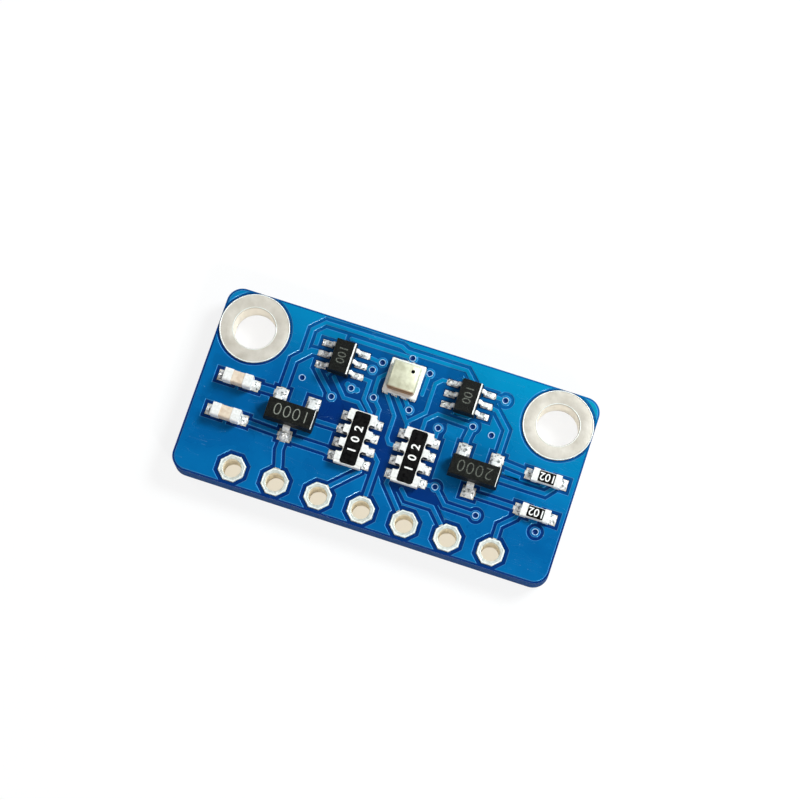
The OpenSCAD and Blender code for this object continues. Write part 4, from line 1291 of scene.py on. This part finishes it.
# %% [markdown]
# ## Solder joints
#
# Molten solder wets the whole pad and climbs the lead or the end cap in a hollow curve. Its height
# depends on two distances: how far a point is from the pad's rim, and how far from the metal that
# it climbs. Their ratio, raised to a power, gives the hollow flank, and a thin rounded rim closes
# it. One prototype is made for each kind of joint and placed by the same tree as the pads. Bumps
# and dimples can be added where a joint ends in a round drop or has shrunk.

# %% Helper: a solder joint
JOINT_RINGS = 9
JOINT_SPOKES = 32
JOINT_RIM = 0.03
JOINT_RIM_WIDTH = 0.06
JOINT_POWER = 1.8
JOINT_SUNK = 0.005


def joint_mesh(half, foot, foot_height, bumps=(), square=4.0):
    """Joint on a pad of half sizes (x, y). foot is the box (x0, x1, half width) that it climbs.

    bumps are (x, radius, height); a height below 0 makes a dimple.
    """
    def outline(angle):
        c, s = abs(cos(angle)), abs(sin(angle))
        return ((c / half[0]) ** square + (s / half[1]) ** square) ** (-1 / square)

    def height(x, y, inside):
        to_rim = inside * min(half)
        to_foot = hypot(max(foot[0] - x, x - foot[1], 0), max(abs(y) - foot[2], 0))
        share = to_rim / (to_rim + to_foot) if to_rim > 0 else 0
        edge = min(to_rim / JOINT_RIM_WIDTH, 1)
        z = (JOINT_RIM * sqrt(edge * (2 - edge))
             + (foot_height - JOINT_RIM) * share ** JOINT_POWER)
        for bump_x, bump_r, bump_h in bumps:
            away = min(hypot(x - bump_x, y) / bump_r, 1)
            z += bump_h * (1 - away * away) ** 1.5
        return z

    points = [(0, 0, height(0, 0, 1))]
    for r in range(1, JOINT_RINGS + 1):
        share = sin(pi / 2 * r / JOINT_RINGS)
        for k in range(JOINT_SPOKES):
            angle = 2 * pi * k / JOINT_SPOKES
            reach = outline(angle) * share
            x, y = reach * cos(angle), reach * sin(angle)
            points.append((x, y, height(x, y, 1 - share)))
    rim_start = 1 + (JOINT_RINGS - 1) * JOINT_SPOKES
    floor_start = len(points)
    points += [(x, y, -JOINT_SUNK) for x, y, z in points[rim_start:]]
    faces = []
    for k in range(JOINT_SPOKES):
        after = (k + 1) % JOINT_SPOKES
        faces.append((0, 1 + k, 1 + after))
        for r in range(JOINT_RINGS - 1):
            a, b = 1 + r * JOINT_SPOKES, 1 + (r + 1) * JOINT_SPOKES
            faces.append((a + k, b + k, b + after, a + after))
        faces.append((rim_start + k, floor_start + k, floor_start + after, rim_start + after))
    faces.append(tuple(reversed(range(floor_start, floor_start + JOINT_SPOKES))))
    return mesh_from("joint", points, faces)


def joints(part, body, foot_share, foot_height, seed, chosen=None, **shape):
    """Joints of one part: its packed joints give the places, and its body what they climb."""
    pads = islands(part + "_solder")
    low, high = pads[0]
    centre = middle(box(part + body))
    across_x = part not in ("regulator", "transistor")
    axis, cross = (0, 1) if across_x else (1, 0)
    half = ((high[axis] - low[axis]) / 2, (high[cross] - low[cross]) / 2)
    foot = (-half[0], half[0] * foot_share[0], half[1] * foot_share[1])
    picked = [i for i in range(len(pads)) if chosen is None or i in chosen]
    places = [(middle(pads[i]).x, middle(pads[i]).y, PAD_Z, facing(pads[i], centre, across_x))
              for i in picked]
    replaced = [part + "_solder"] if 0 in picked else []
    copied("%s_joints_%d" % (part, picked[0]), joint_mesh(half, foot, foot_height, **shape),
           places, SOLDER, "solder", replaced, unevenness=0.045, lump=0.14, seed=seed)


for i, (shifter, array) in enumerate(zip(SHIFTERS, ARRAYS)):
    joints(shifter, "_body", (0.1, 0.66), 0.17, i)
    joints(array, "_ceramic", (-0.55, 0.9), 0.34, i + 2, square=3.0,
           bumps=((0.12, 0.2, 0.12), (0.12, 0.09, -0.09)))
joints("regulator", "_body", (0.2, 0.56), 0.17, 4, chosen=(1, 2))
joints("regulator", "_body", (-0.2, 0.5), 0.12, 5, chosen=(0,), square=2.3,
       bumps=((0.06, 0.34, 0.24), (0.1, 0.12, -0.1)))
joints("transistor", "_body", (0.2, 0.56), 0.17, 6)
for i, part in enumerate(RESISTORS + CAPACITORS):
    joints(part, "_ceramic", (-0.2, 0.9), 0.3, i + 7, square=2.8,
           bumps=((0.12, 0.22, 0.1), (0.14, 0.08, -0.08)))

# %% [markdown]
# ## Printed numbers
#
# Chip resistors carry their value in white digits, and moulded packages a paler or fainter code.
# Plain generic numbers stand here. Text is made as a curve with a little thickness, turned into a
# mesh, and only then moved to its place, so that the finished piece has its place in its mesh like
# every other.

# %% Digits
INK_T = 0.004
INK_MERGE = 1e-4


def digits(name, text, node, height, turn, material, slot, spread=1.0, weight=0.0, shift_x=0.0):
    """Printed digits on top of a node; lengths are in millimetres and turn is in degrees."""
    curve = bpy.data.curves.new(name, "FONT")
    curve.body = text
    curve.size = 1.0
    curve.align_x = curve.align_y = "CENTER"
    curve.space_character = spread
    curve.offset = weight
    curve.extrude = INK_T
    curve.resolution_u = 4
    mesh = facing_out(baked(new_object(name, curve), name), INK_MERGE)
    wide = [v.co.x for v in mesh.vertices]
    tall = [v.co.y for v in mesh.vertices]
    centre = Matrix.Translation((-(max(wide) + min(wide)) / 2, -(max(tall) + min(tall)) / 2, 0))
    scale = Matrix.Scale(height * MM / (max(tall) - min(tall)), 4)
    spot = middle(box(node))
    place = Vector((spot.x + shift_x, spot.y, box(node)[1].z))
    mesh.transform(Matrix.Translation(place * MM)
                   @ Matrix.Rotation(radians(turn), 4, "Z") @ scale @ centre)
    mesh.materials.append(material)
    dressed(new_object(name, mesh), slot)


for shifter, array in zip(SHIFTERS, ARRAYS):
    digits(array + "_value", "102", array + "_overcoat", 0.5, 90, INK, "overcoat", spread=1.9,
           weight=0.02)
    digits(shifter + "_number", "100", shifter + "_body", 0.5, -90, FAINT_INK, "moulding",
           shift_x=-0.04)
for part in RESISTORS:
    digits(part + "_value", "102", part + "_overcoat", 0.46, 180, INK, "overcoat", weight=0.01)
digits("regulator_number", "1000", "regulator_body", 0.68, 180, PALE_INK, "moulding",
       spread=1.06, weight=-0.022)
digits("transistor_number", "2000", "transistor_body", 0.68, 180, FAINT_INK, "moulding",
       spread=1.06, weight=-0.016)
